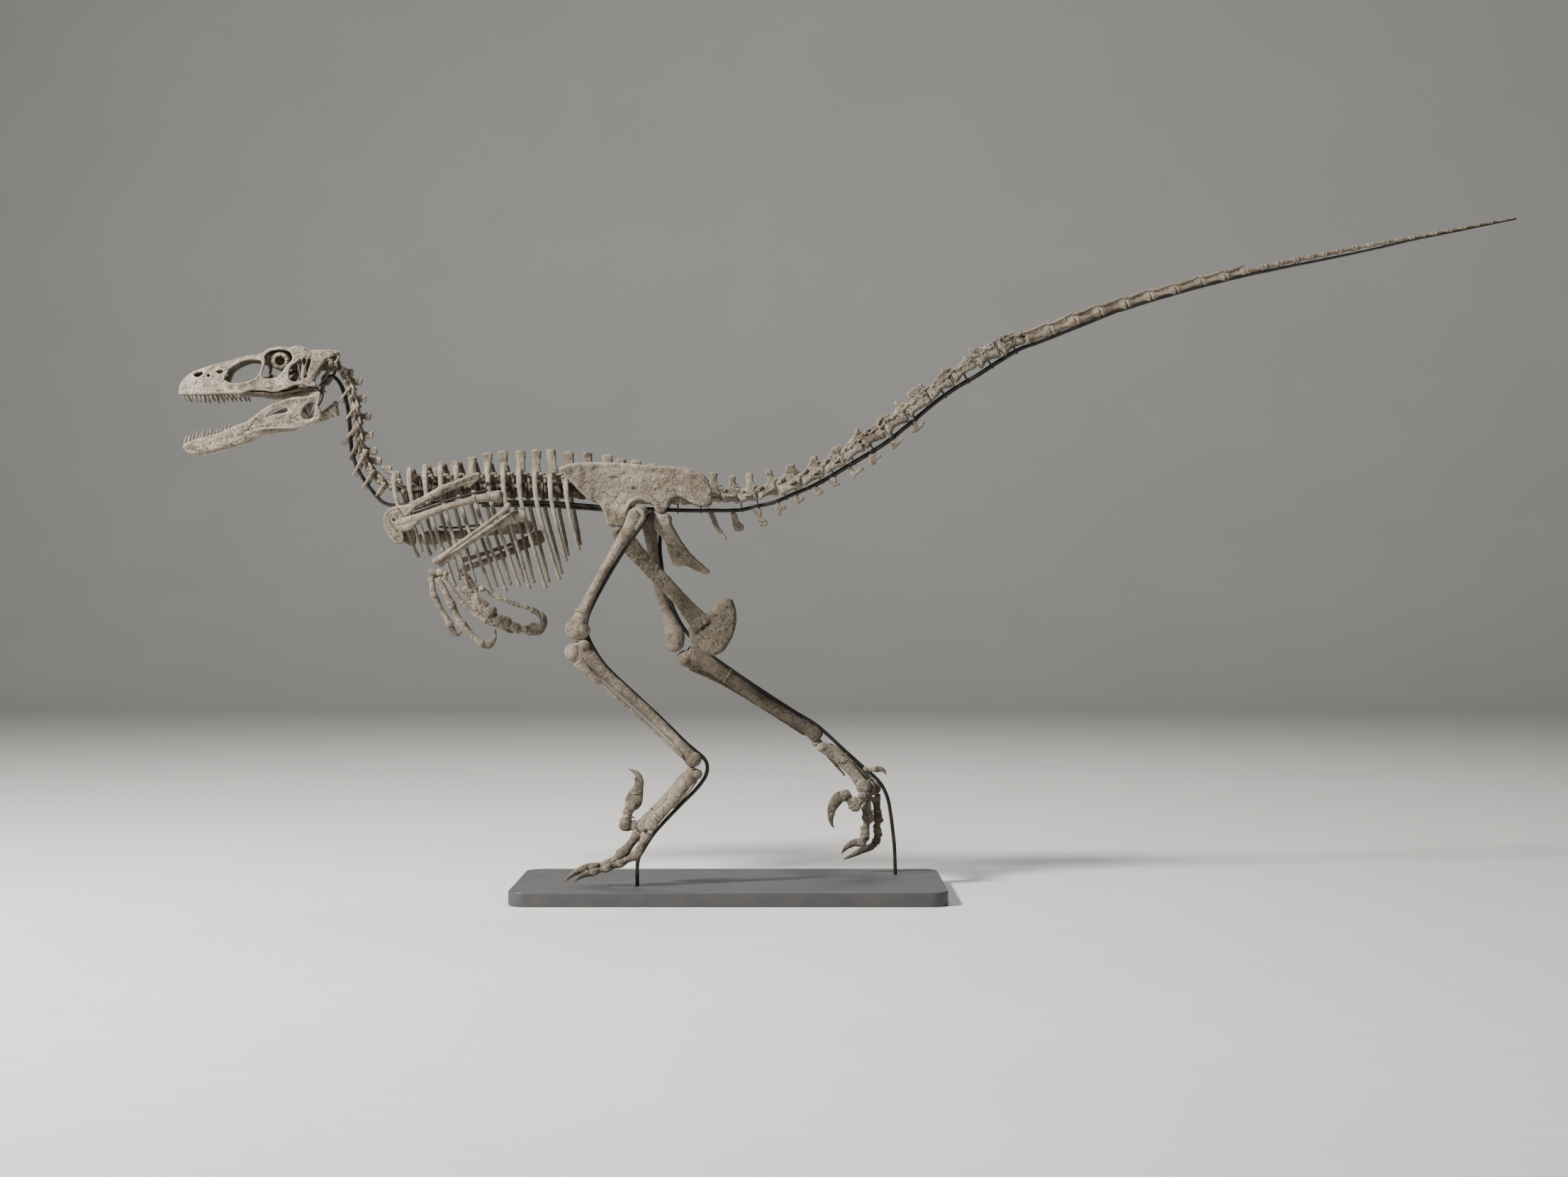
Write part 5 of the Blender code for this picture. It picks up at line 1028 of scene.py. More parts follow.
def skull():
    # two walls, all that shows inside them as one skin of bars, and the upper teeth
    for side, name in ((near, "skullLeft"), (far, "skullRight")):
        headPiece(name, "skull", [skullWall(side)])
    clay = Clay()
    # braincase with its wings, and the knob that meets the neck
    bar(clay, [(-985, 0, 1212, 8, 14), (-950, 0, 1206, 14, 18), (-915, 0, 1202, 18, 24),
               (-896, 0, 1200, 17, 22), (-888, 0, 1194, 9, 11), (-881, 0, 1190, 8, 9)], sides=28)
    both(clay, [(-900, 0, 1208, 8, 10), (-897, -25, 1203, 7, 10), (-894, -46, 1195, 6, 7)], across=(0, 0, 1))
    bar(clay, [(-908, -26, 1223, 4, 9), (-892, -32, 1221, 4, 7), (-880, -38, 1220, 3.4, 4)])
    # struts and lumps behind the cheek
    both(clay, [(-908, -43, 1206, 5, 5), (-917, -46, 1190, 4.4, 6), (-927, -50, 1172, 4.4, 5),
                (-934, -54, 1156, 6, 5)])
    both(clay, [(-898, -34, 1194, 4, 5), (-902, -30, 1180, 4, 5), (-910, -30, 1168, 5, 5),
                (-917, -36, 1158, 3.4, 5)])
    both(clay, [(-963, -46, 1204, 3, 4), (-964, -44, 1185, 2.6, 3.4), (-962, -42, 1166, 3, 4)])
    # roof of the mouth
    both(clay, [(-1205, -8, 1128, 5, 7), (-1140, -14, 1132, 5, 7), (-1085, -17, 1131, 5, 9),
                (-1030, -22, 1130, 6, 10), (-980, -28, 1137, 6, 8), (-940, -46, 1150, 6, 5)])
    both(clay, [(-1075, -28, 1130, 3, 12), (-1040, -34, 1126, 3, 14), (-1000, -38, 1128, 3, 14),
                (-960, -44, 1138, 3, 8)])
    both(clay, [(-1046, -26, 1160, 8, 2.5), (-1030, -26, 1164, 8, 2.5), (-1010, -28, 1166, 7, 2.5),
                (-990, -32, 1158, 8, 3)])
    both(clay, [(-986, -40, 1156, 6, 2.5), (-968, -42, 1154, 5, 2.5), (-950, -46, 1154, 5, 3)])
    both(clay, [(-1040, -50, 1140, 5, 5), (-1030, -20, 1134, 5, 6)], across=(0, 0, 1))
    # thin walls behind the nostrils and between the eyes; the wall behind the nostrils, in the very dark
    # inside finish, is a sheet of painted shade that makes the nostrils look dark
    bar(clay, [(-1216, 0, 1150, 9, 3), (-1192, 0, 1160, 14, 3), (-1166, 0, 1170, 14, 3)])
    bar(clay, [(-1052, 0, 1204, 10, 3), (-1035, 0, 1206, 15, 3), (-1010, 0, 1202, 19, 4),
               (-985, 0, 1202, 16, 6)])
    both(clay, [(-1040, -6, 1216, 7, 6), (-1015, -10, 1218, 8, 9), (-990, -14, 1216, 9, 12)])
    bar(clay, [(-1150, 0, 1130, 3, 20), (-1090, 0, 1132, 3, 22), (-1040, 0, 1132, 4, 22),
               (-1000, 0, 1140, 4, 16), (-960, 0, 1170, 6, 9), (-940, 0, 1190, 8, 8)])
    # the inside of the head in the very dark copy of the bone colour: painted shade
    headPiece("skullInside", "skull", [skin(clay, 1.5, (0.9, 0.4, 1.0), 6)], "insideShade")
    teeth = dict(first=-1222, count=15, gum=1124, way=-1, length=12.8, frontHalf=12, backHalf=40, rise=0,
                 seed=4)
    toothRow("upperTeethLeft", "skull", near, last=-1096, **teeth)
    toothRow("upperTeethRight", "skull", far, last=-1090, **teeth)


jawShape = {
    "outline": [(-1224, 1011.7), (-1218, 1016.2), (-1195.4, 1023.7), (-1165.4, 1031.2), (-1138.4, 1038.7),
        (-1120.4, 1047.1), (-1099.3, 1055.5), (-1084.3, 1060.2), (-1070.3, 1068.5), (-1055.3, 1080),
        (-1040.3, 1091), (-1021.3, 1101.7), (-997.2, 1110.5), (-973.2, 1117), (-955.2, 1119.2),
        (-943.2, 1120.4), (-934.2, 1124.3), (-922.2, 1131.8), (-914.6, 1125.8), (-914.6, 1116.8),
        (-918, 1104.7), (-920.5, 1092.7), (-920, 1080.7), (-914.1, 1069.7), (-929.2, 1061.7),
        (-940.2, 1054.5), (-961.2, 1048.5), (-979.2, 1046.5), (-1003.2, 1046.5), (-1027.3, 1045.5),
        (-1045.3, 1043), (-1063.3, 1036.4), (-1081.3, 1026.6), (-1099.3, 1018), (-1117.3, 1011.5),
        (-1141.4, 1002), (-1165.4, 994.6), (-1189.4, 990.2), (-1206, 990.6), (-1217, 996), (-1224, 1004)],
    "farRear": [(-950, 1119), (-955, 1104), (-957, 1090), (-957, 1080), (-962, 1072), (-970, 1065),
        (-981, 1060), (-992, 1055), (-1007, 1050.5), (-1027.3, 1047)],  # the outline's rear on the far side
    "openings": [[(-1033.3, 1073.2), (-1022.7, 1083.7), (-1006.2, 1090.3), (-988.2, 1091.2), (-989.7, 1083.7),
        (-1003.2, 1080.7), (-1018.3, 1078.3), (-1027.3, 1074.7)], [(-957, 1081), (-950, 1096), (-940, 1105),
        (-926, 1111), (-925.5, 1103), (-927.5, 1092), (-929, 1081), (-932, 1073), (-941, 1068),
        (-951, 1069)]],
    "ridges": [[(-1075, 1078), (-1040, 1098), (-1000, 1110), (-940, 1116), (-920, 1124)], [(-1060, 1050),
        (-1020, 1062), (-985, 1064), (-950, 1060), (-926, 1066)], [(-988, 1070), (-975, 1090), (-958, 1110)],
        [(-1222, 1008), (-1190, 1012), (-1150, 1022), (-1110, 1040)]],
    "seams": [[(-1123, 1044), (-1122, 1018)], [(-1085, 1040), (-1050, 1051), (-1015, 1052), (-980, 1052)],
        [(-978, 1060), (-962, 1066)], [(-1060, 1070), (-1048, 1060), (-1040, 1050)], [(-1100, 1030),
        (-1075, 1044), (-1060, 1064)]],
    "alongX": [-1226, -1212, -1190, -1150, -1110, -1075, -1055, -1025, -990, -950, -880],
    "halfWidths": [5, 10, 16, 25, 34, 42, 46, 51, 55, 58, 58]}


def mandible(side, name, node):
    # the two halves spread from the chin to the cheeks, with low ridges, seams and a row of pits
    shape = jawShape

    def place(x, v):
        return np.interp(x, shape["alongX"], shape["halfWidths"]) - 0.02 * (v - 1040), v

    def relief(x, v, d):
        out = sum(1.5 * groove(x, v, line, 4.5) for line in shape["ridges"])
        out -= sum(1.2 * groove(x, v, line, 1.3) for line in shape["seams"])
        for px in np.arange(-1216, -1120, 7.7):
            pv = 1012 + 0.42 * (px + 1216) * 0.7
            out -= 1.0 * np.exp(-((x - px)**2 + (v - pv - 4)**2) / 1.6)
        return out

    def thick(x, v, d):
        return np.interp(x, [-1225, -1120, -1060, -960, -910], [5.0, 4.6, 3.4, 2.8, 4.0])

    clay, inside, outline = Clay(), Clay(), shape["outline"]
    if side == far:
        outline = outline[:15] + shape["farRear"] + outline[-11:]
    openings = shape["openings"][:2 if side == near else 1]
    plate(clay, outline, place, thick, openings, relief, rim=5.0, side=side)
    # a bar along the inner face, and the hinge behind it
    bar(inside, [(x, side * y, z, h, 4) for x, y, z, h in (
        (-1190, 12, 1006, 8), (-1140, 21, 1018, 9), (-1090, 33, 1038, 10), (-1040, 44, 1058, 9),
        (-1000, 50, 1064, 8), (-955 if side == near else -975, 54, 1072, 6))])
    if side == far:
        bar(inside, [(-966, 57, 1078, 8, 4), (-945, 56, 1083, 10, 5), (-924, 56, 1091, 12, 7),
                     (-907, 55, 1102, 14, 9), (-899, 54, 1105, 15, 9)])
        ball(inside, -902, 54, 1117, 7, 1.2)
        ball(inside, -900, 54, 1093, 7, 1.2)
    else:
        bar(inside, [(-923, -56, 1100, 5, 4), (-920, -56, 1084, 6, 5), (-917, -55, 1072, 6, 5)])
    headPiece(name, node, [skin(clay, raw=True, rough=(0.5, 0.4, 0.8), seed=7 + side),
                           skin(inside, 1.5, (0.8, 0.4, 0.5), 17 + side)])
    toothRow(name + "Teeth", node, side, first=-1218, last=-1121, count=13, gum=1014.5, way=1, length=19.5,
             frontHalf=9, backHalf=31, rise=29, seed=9)


def toothRow(name, node, side, first, last, count, gum, way, length, frontHalf, backHalf, rise, seed):
    # the teeth spread with the jaw; each size is drawn, and the longest stand past the middle of the front
    draw = np.random.default_rng(seed)
    clay = Clay()
    for i in range(count):
        t = i / (count - 1)
        size = (0.72 + 0.38 * math.sin(math.pi * min(1, t * 1.15 + 0.15))) * draw.uniform(0.7, 1.12)
        tooth(clay, first + (last - first) * t + draw.uniform(-1.3, 1.3),
              side * (frontHalf + (backHalf - frontHalf) * t**0.75), gum + rise * t, length * size,
              3.5 * size**0.5, way)
    headPiece(name, node, [skin(clay, raw=True, rough=(0.1, 0.1, 0), seed=seed)], "tooth")


ringShape = {"x": -1004.7, "y": 48.0, "z": 1198.8, "radius": 15.0, "half": 4.8, "thick": 1.7, "plates": 15}


def eyeRing(side, name, node):
    # a flat ring, cupped outwards, pinched where its plates meet; angle by way round its section
    ring, around, section = ringShape, 180, 20
    a = np.linspace(0, 2 * math.pi, around, endpoint=False)[:, None]
    b = np.linspace(0, 2 * math.pi, section, endpoint=False)[None, :]
    pinch = np.abs(np.sin(a * ring["plates"] / 2))**0.35
    radius = ring["radius"] + ring["half"] * (0.9 + 0.1 * pinch) * np.cos(b) + 0 * a
    out = (1.6 * (0.4 - np.cos(b)) + ring["thick"] * (0.45 + 0.55 * pinch) * np.sin(b)
           + 0.5 * np.cos(a * ring["plates"] / 2))
    points = np.stack([ring["x"] + radius * np.cos(a), side * (ring["y"] + out),
                       ring["z"] + radius * np.sin(a)], -1)
    quads = ringQuads(around, section, closed=True)
    clay = Clay()
    clay.add(points.reshape(-1, 3), quads if side == far else quads[:, ::-1], noTriangles)
    headPiece(name, node, [skin(clay, raw=True, rough=(0.12, 0.12, 0), seed=8)])


def vertebra(length, radius, top, spineHalf, wing, lean=0.0, waist=0.74):
    # one vertebra at the origin, front towards -X: a spool, the arch over it with its four
    # joint processes, a side process each way, and a paddle of a spine
    clay, half, arch = Clay(), length / 2, radius * 1.35
    bar(clay, [(half * t, 0, 0, radius * h, radius * w) for t, h, w in (
        (-1, 0.96, 0.96), (-0.86, 1.04, 1.04), (-0.5, waist + 0.08, waist + 0.06), (0, waist, waist),
        (0.5, waist + 0.08, waist + 0.06), (0.86, 1.04, 1.04), (1, 0.96, 0.96))], sides=28, dome=0.06)
    bar(clay, [(half * t, 0, arch * z, radius * h, radius * w) for t, z, h, w in (
        (-0.62, 0.9, 0.62, 0.62), (0, 1, 0.72, 0.66), (0.66, 0.95, 0.6, 0.6))], power=2.6)
    for rows in (((-0.3, 0.42, 1.2, 4.5, 4.5), (-0.8, 0.6, 1.25, 3.8, 3.6), (-1.12, 0.62, 1.3, 4.4, 2.6)),
                 ((0.2, 0.36, 1.35, 4.5, 4), (0.7, 0.44, 1.5, 4, 3.2), (1.12, 0.46, 1.52, 3.6, 3))):
        both(clay, [(half * t, -radius * y, arch * z, h, w) for t, y, z, h, w in rows])
    if wing > radius * 1.2:
        both(clay, [(-1, -radius * 0.3, arch * 1.15, 5, 10), (1, -wing * 0.55, arch * 1.4, 3.4, 8),
                    (3, -wing * 0.85, arch * 1.62, 3.2, 7), (4, -wing, arch * 1.7, 4, 7.5)], across=(1, 0, 0))
        both(clay, [(-half * 0.5, -radius * y, radius * z, r, r)
                    for y, z, r in ((0.8, 0.5, 5), (1.16, 0.62, 4))], across=(1, 0, 0))
    if top > arch + 8:
        rise = top - arch
        bar(clay, [(x, 0, z, spineHalf * h, w) for x, z, h, w in (
            (-1, arch, 1.3, 5), (0, arch + rise * 0.22, 1.02, 4), (lean * 0.5, arch + rise * 0.52, 0.88, 3),
            (lean * 0.9, arch + rise * 0.8, 1.02, 3.8), (lean, top - 6, 1.1, 4.6),
            (lean, top - 3.2, 0.96, 4.2))], sides=24, power=2.7, dome=0.7)
    return clay


neckShape = {
    # middle x, z, half length, tip of the spine x, z
    "places": [(-874, 1178, 9, -847, 1176), (-862, 1152, 18.5, -827, 1158), (-850, 1115, 18.5, -818, 1119),
        (-843, 1078, 18.5, -807, 1079), (-839, 1041, 18.5, -802, 1037), (-833, 1005, 18.5, -793, 1001),
        (-821, 971, 18, -783, 978), (-801, 943, 17.5, -760, 959), (-775, 925, 16, -742, 947),
        (-746, 914, 15, -738, 930)],
    # where each thin rib leaves its vertebra, where it ends, half its width
    "ribs": [(-861, 1135, -881, 1108, 3.6), (-846, 1093, -867, 1067, 4.2), (-848, 1045, -873, 1015, 5.0),
        (-835, 1023, -857, 980, 5.0), (-822, 994, -848, 943, 5.0), (-806, 949, -827, 914, 5.0),
        (-781, 920, -796, 899, 4.4)]}


def neck(name, node, first, last, seed):
    # vertebrae along a curve, each with a rounded paddle towards the nape, joint processes and a side lump
    skins, places = [], neckShape["places"]
    along = np.gradient(np.array(places, float)[:, :2], axis=0)
    for (x, z, half, tipX, tipZ), (alongX, alongZ) in list(zip(places, along))[first:last]:
        clay, arch = Clay(), 7.6
        bar(clay, [(half * t, 0, 0, h, w) for t, h, w in (
            (-1, 8.6, 12), (-0.84, 9.6, 13), (0, 6.2, 8.5), (0.84, 9.6, 13.5), (1, 8.6, 12))],
            sides=24, dome=0.08)
        bar(clay, [(-half * 0.55, 0, arch, 3.8, 9), (0, 0, arch + 1, 5.4, 8.5),
                   (half * 0.55, 0, arch, 3.8, 10)])
        for rows in (((-0.1, -7, -1, 3.6, 4), (-0.75, -14, -2, 3.2, 4.4), (-1.08, -15, -2, 3, 3)),
                     ((0.1, -7, -1, 3.6, 4), (0.7, -14, 1, 3.2, 4.4), (1.02, -15, 2, 3, 3))):
            both(clay, [(half * t, y, arch + up, h, w) for t, y, up, h, w in rows])
        both(clay, [(-half * 0.3, -8, 1, 4.4, 5), (-half * 0.4, -16, -3, 4.6, 4.4)], across=(1, 0, 0))
        clay.placed(x, z, math.atan2(alongZ, alongX))
        long = 32 if half > 17.8 else 22
        bar(clay, [(tipX - long, 0, tipZ + 4, 6, 6), (tipX - long * 0.64, 0, tipZ + 2, 5, 4),
                   (tipX - 17, 0, tipZ, 8.8, 3.8), (tipX - 6, 0, tipZ - 0.5, 10, 4)], power=2.2, dome=0.9)
        skins.append(skin(clay, 1.5, (0.7, 0.35, 0.9), seed + len(skins)))
    top, low = places[first][1] + 30, places[last - 1][1] - 40
    for x, z, endX, endZ, size in neckShape["ribs"]:
        if low < z < top:
            clay = Clay()
            both(clay, [(x + 5, -13, z + 7, size, 4), (x, -17, z, size, 3.2),
                        ((x + endX) / 2, -18, (z + endZ) / 2, size * 0.85, 2.6),
                        (endX, -17, endZ, size * 0.62, 2.2)])
            skins.append(skin(clay, 1.2, (0.35, 0.2, 0.4), int(z), blend=2))
    piece(name, node, skins, "body")


trunkShape = {
    # front of each vertebra, top of its spine and how far the spine leans; then the ribs and their tips
    "x": [-715, -684, -654, -619, -583, -548, -512, -474, -438, -402, -361, -318],
    "top": [938, 957, 964, 978, 988, 998, 1003, 1003, 1004, 1006, 1001, 999],
    "lean": [2, -1, -7, -3, 0, 0, -3, 1, -1, -6, -8, -7],
    "ribFirst": -755, "ribApart": 35.2, "ribReach": 104,
    "tipX": [-695, -666, -611, -576, -527, -496, -465, -443, -408, -378, -363, -335],
    "tipZ": [760, 764, 696, 690, 680, 684, 693, 689, 691, 710, 751, 776],
    # down a rib: share of its way back, out and down, then half its size along and out
    "ribRows": [(0.0, 0.30, 0.0, 6.5, 5), (0.05, 0.62, 0.09, 6.3, 4.6), (0.16, 0.90, 0.27, 5.4, 4.2),
        (0.42, 1.0, 0.52, 4.8, 3.8), (0.72, 0.95, 0.76, 4.4, 3.5), (0.93, 0.84, 0.95, 4.2, 3.4),
        (1.0, 0.80, 1.0, 5.0, 3.6)]}


def backboneHeight(x):
    # a shallow arch: the height falls with the square of the way from its top
    return 911.0 - 8.0 * ((x + 520.0) / 200.0)**2 * (1.0 if x < -520 else 0.35)


def rib(index, side):
    # out from the side process, then down and slightly in to its tip, with a ridge along its front
    shape, clay, t = trunkShape, Clay(), index / 11
    start = shape["ribFirst"] + shape["ribApart"] * index
    top = 934 + 40 * math.sin(math.pi * min(1.0, 0.12 + t * 0.9))
    tipX, tipZ = shape["tipX"][index], shape["tipZ"][index]
    if side == far:
        tipX, tipZ = tipX - 8, tipZ + 14
    reach = shape["ribReach"] * (0.55 + 0.45 * math.sin(math.pi * (0.1 + t * 0.75)))
    rows = [(start + (tipX - start) * a, side * reach * b, top - (top - tipZ) * c, h, w)
            for a, b, c, h, w in shape["ribRows"]]
    bar(clay, rows, across=(0, 1, 0.3))
    bar(clay, [(px - h * 0.55, py + side * w * 0.5, pz, 1.9, 2.2) for px, py, pz, h, w in rows[:-1]],
        across=(0, 1, 0.3), sides=10)
    # the head of the rib, and its neck back to the spool
    (headX, headY, headZ, _, _), (x, y, z, _, _) = rows[:2]
    ball(clay, headX, headY, headZ - 1, 6.5, 0.8)
    centre = max(start - 4, shape["x"][0] - 10)
    spool = backboneHeight(centre)
    bar(clay, [(x, y * 0.95, z - 2, 4, 4), ((x + centre) / 2, y * 0.55, (z + spool + 8) / 2 - 2, 3.4, 3.4),
               (centre - 3, side * 19, spool + 9, 4.8, 4.4)], across=(1, 0, 0))
    return skin(clay, 1.65 if side == near else 2.0, seed=200 + index * 2 + side)


def trunk():
    # a vertebra between each two places, with painted shade on its lower part under the ribs, and twelve ribs
    # a side
    places, skins = trunkShape["x"], []
    ends = places + [places[-1] + 38]
    for i, x in enumerate(places):
        z = backboneHeight(x)
        clay = vertebra(ends[i + 1] - ends[i] - 1.5, 18.5, trunkShape["top"][i] - z, 11, 33,
                        trunkShape["lean"][i])
        clay.placed((ends[i] + ends[i + 1]) / 2 - (17 if i else 15), z)
        data = skin(clay, 1.9, (0.6, 0.35, 0.8), 150 + i)
        # painted shade: the lower part of the vertebra is darkened through the hollow attribute
        low = np.clip((z + 36 - data["points"][:, 2]) / 22, 0, 1)
        data["hollow"] = np.maximum(data["hollow"], 0.5 + 0.22 * low)
        skins.append(data)
    piece("trunkVertebrae", None, skins, "body")
    piece("ribsLeft", "trunk_left", [rib(i, near) for i in range(12)], "body")
    # the far ribs in the darker shade look: painted shade
    piece("ribsRight", "trunk_right", [rib(i, far) for i in range(12)], "shade")


sacrumShape = [  # x, top of the spine, length of the vertebra, how far it is moved along
    (-280, 993, 30, 3), (-243, 985, 36, -3), (-210, 981, 36, -3), (-174, 973, 38, -3), (-131, 965, 38, -3),
    (-88, 958, 38, -3)]


def sacrum():
    # six vertebrae, each with a thick bar out to the ilium on both sides
    skins = []
    for x, top, length, push in sacrumShape:
        z = 900 - 0.02 * (x + 280)
        clay = vertebra(length, 18, top - z, 12, 18, waist=0.9)
        both(clay, [(0, -8, 14, 10, 8), (0, -44, 26, 9, 7)], across=(1, 0, 0))
        clay.placed(x + push, z)
        skins.append(skin(clay, 2.1, (0.7, 0.25, 0.5), 170 + len(skins)))
    piece("sacrum", "sacrum", skins, "hip")


tailShape = {
    # along the tail: x, z and radius where two vertebrae meet
    "joints": [(-62, 897, 17), (-20, 894, 16.5), (17, 892, 16), (64, 895, 15.5), (107, 911, 15),
        (161, 930, 15), (212, 954, 14.5), (256, 981, 14.5), (298, 1014, 14), (347, 1043, 13.5),
        (397, 1082, 13), (449, 1120, 13), (501, 1160, 12.5), (557, 1196, 12), (608, 1231, 12),
        (667, 1250, 11.5), (724, 1270, 11), (780, 1293, 10.5), (836, 1312.5, 10), (895, 1331, 9.5),
        (950, 1348, 9), (1007, 1363, 8.5), (1065, 1380, 8), (1119, 1393, 8), (1164, 1405, 7.5),
        (1205, 1415, 7.5), (1242, 1424, 7), (1278, 1431, 7), (1312, 1438, 6.5), (1343, 1444, 6.5),
        (1375, 1451, 6), (1411, 1458, 6), (1446, 1465, 5.5), (1481, 1471, 5.5), (1512, 1477, 5),
        (1539, 1482, 5), (1564, 1487, 4.5), (1589, 1491, 4.5), (1625, 1498, 4), (1657, 1504, 4),
        (1687, 1510, 3.5), (1717, 1516, 3.5), (1745, 1521, 3), (1776, 1528, 2.5)],
    # the first fifteen vertebrae from the side
    "outlines": [[(-62, 908), (-62, 886), (-50, 884), (-35, 886), (-24, 882), (-19, 890), (-20, 905),
        (-26, 917), (-15, 921), (-26, 928), (-30, 938), (-27, 948), (-33, 953), (-44, 952.5), (-48, 947),
        (-47, 935), (-50, 922), (-58, 916)], [(-18, 906), (-19, 887), (-10, 883), (5, 886), (14, 880),
        (20, 888), (19, 902), (14, 914), (25, 919), (17, 926), (12, 932), (14, 942), (9, 946), (1, 945),
        (-2, 940), (-3, 928), (-8, 918), (-16, 914)], [(15, 908), (17, 893), (22, 881), (30, 884), (45, 888),
        (57, 887), (63, 892), (61, 905), (58, 915), (66, 922), (55, 929), (52, 936), (54, 946), (48, 952),
        (39, 951), (34, 944), (36, 930), (34, 918), (25, 914), (18, 911)], [(63, 899), (68, 889), (77, 896),
        (92, 901), (105, 897), (109, 903), (107, 915), (103, 922), (104, 932), (116, 934), (119, 940),
        (104, 941), (98, 946), (95, 955), (90, 960.5), (82, 960), (78, 955), (80, 945), (82, 932), (78, 925),
        (68, 922), (63, 914)], [(106, 930), (108, 918), (114, 903), (119, 899), (129, 904), (143, 912),
        (158, 915), (164, 919), (162, 930), (157, 943), (149, 948), (158, 951), (172, 953), (173, 958),
        (160, 959), (149, 960), (147, 968), (143, 973.5), (135, 971), (126, 965), (121, 950), (115, 940),
        (108, 936)], [(159, 945), (161, 935), (167, 922), (175, 925), (191, 935), (206, 940), (213, 945),
        (213, 955), (209, 966), (199, 970), (210, 973), (222, 976), (222, 981), (210, 981), (199, 981),
        (197, 988), (191, 991), (183, 987), (178, 978), (173, 963), (165, 957), (159, 952)], [(209, 972),
        (213, 960), (219.5, 949), (228, 953), (241, 962), (258, 968), (261, 975), (256, 986), (249, 994),
        (252, 1003), (262, 1007), (258, 1012), (245, 1014), (236, 1011), (228, 1004), (222, 992), (218, 983),
        (210, 979)], [(249, 998), (256, 988), (263, 978), (268, 977), (276, 986), (289, 995), (304, 1001),
        (302, 1010), (294, 1020), (287, 1028), (292, 1036), (303, 1041), (294, 1045), (289, 1050),
        (285, 1052), (280, 1044), (276, 1034), (268, 1024), (262, 1016), (252, 1007)], [(291, 1024),
        (300, 1013), (309, 1004), (314, 1008), (322, 1019), (338, 1025), (352, 1031), (351, 1039),
        (344, 1049), (338, 1056), (343, 1066), (355, 1074), (360, 1083), (350, 1083), (340, 1080),
        (331, 1074), (326, 1062), (318, 1052), (306, 1043), (296, 1040), (290, 1034)], [(342, 1060),
        (351, 1045), (358, 1034), (363, 1038), (370, 1051), (380, 1058), (396, 1063), (405, 1067),
        (403, 1076), (396, 1085), (388, 1092), (393, 1101), (404, 1107), (396, 1110), (384, 1109),
        (378, 1113), (372, 1112), (370, 1106), (374, 1100), (368, 1088), (362, 1083), (350, 1078),
        (343, 1070)], [(390, 1098), (399, 1085), (409, 1076), (414, 1080), (421, 1090), (435, 1098),
        (451, 1104), (455, 1112), (450, 1122), (440, 1130), (441, 1143), (430, 1152), (418, 1147),
        (406, 1139), (398, 1131), (400, 1120), (404, 1112), (394, 1106)], [(440, 1142), (444, 1128),
        (455, 1113), (462, 1117), (472, 1129), (484, 1140), (504, 1145), (507, 1152), (501, 1163),
        (492, 1171), (496, 1180), (508, 1186), (500, 1189), (485, 1189.5), (477, 1187), (472, 1178),
        (462, 1165), (455, 1152), (446, 1148)], [(495, 1173), (504, 1162), (510, 1154.5), (516, 1158),
        (522, 1168), (534, 1178), (551, 1185), (557, 1190), (555, 1199), (545, 1206), (538, 1211),
        (533, 1216), (527, 1214), (523, 1206), (520, 1198), (510, 1190), (498, 1186), (493, 1180)],
        [(551, 1207), (560, 1193), (567, 1186), (573, 1190), (580, 1203), (592, 1208), (610, 1211),
        (612, 1218), (607, 1228), (600, 1237), (602, 1249), (597, 1251), (588, 1245), (575, 1239),
        (560, 1233), (546, 1234), (538, 1230), (535, 1224), (541, 1214), (548, 1209)], [(603, 1233),
        (613, 1222), (622, 1215), (628, 1222), (640, 1234), (655, 1239), (664, 1241), (666, 1246),
        (660, 1258), (655, 1266), (648, 1268), (635, 1262), (620, 1258), (606, 1249), (602, 1242)]],
    "chevrons": [[(-54, 870), (-44, 870), (-34, 855), (-27, 835), (-15, 815), (-8, 803), (-12, 800),
        (-22, 808), (-34, 825), (-43, 845), (-50, 860)], [(1.5, 860), (14, 860), (20, 843), (31, 831),
        (30, 822), (13, 818), (7, 831), (4, 846)], [(52, 871), (69, 870), (72, 852), (84, 840), (80, 830),
        (67, 832), (60, 846)], [(101, 889), (111, 884), (113, 879), (122, 879), (127, 873), (124, 869),
        (115, 866), (116, 857), (108, 855.5), (103, 866), (102, 877)], [(142, 903), (151, 903), (154, 893),
        (165, 897), (168, 893), (166, 889), (158, 884), (153, 879), (148, 884), (144, 892)], [(184, 919),
        (193, 921), (203, 915), (210, 909), (206, 903), (196, 899), (190, 905), (186, 911)], [(222, 938),
        (238, 942), (241, 930), (248, 928), (247, 924), (240, 921), (234, 920), (227, 926)], [(263, 963),
        (272, 967), (278, 958), (284, 955), (292, 963), (298, 964), (301, 957), (294, 952), (285, 945),
        (280, 938), (274, 944), (269, 953)], [(312, 993), (325, 994), (333, 989), (339, 992), (341, 988),
        (332, 980), (328, 971), (321, 968), (314, 972), (313, 980)], [(360, 1021), (370, 1025), (380, 1024),
        (390, 1031), (393, 1028), (385, 1020), (378, 1011), (369, 1004), (362, 1009)], [(410, 1065),
        (418, 1068), (424, 1058), (434, 1066), (440, 1064), (436, 1057), (430, 1050), (421, 1043),
        (413, 1041), (408, 1046), (412, 1053)]],
    "webEnd": 1140}


def tailHeight(x):
    # straight from joint to joint
    joints = np.array(tailShape["joints"])
    return float(np.interp(x, joints[:, 0], joints[:, 1]))


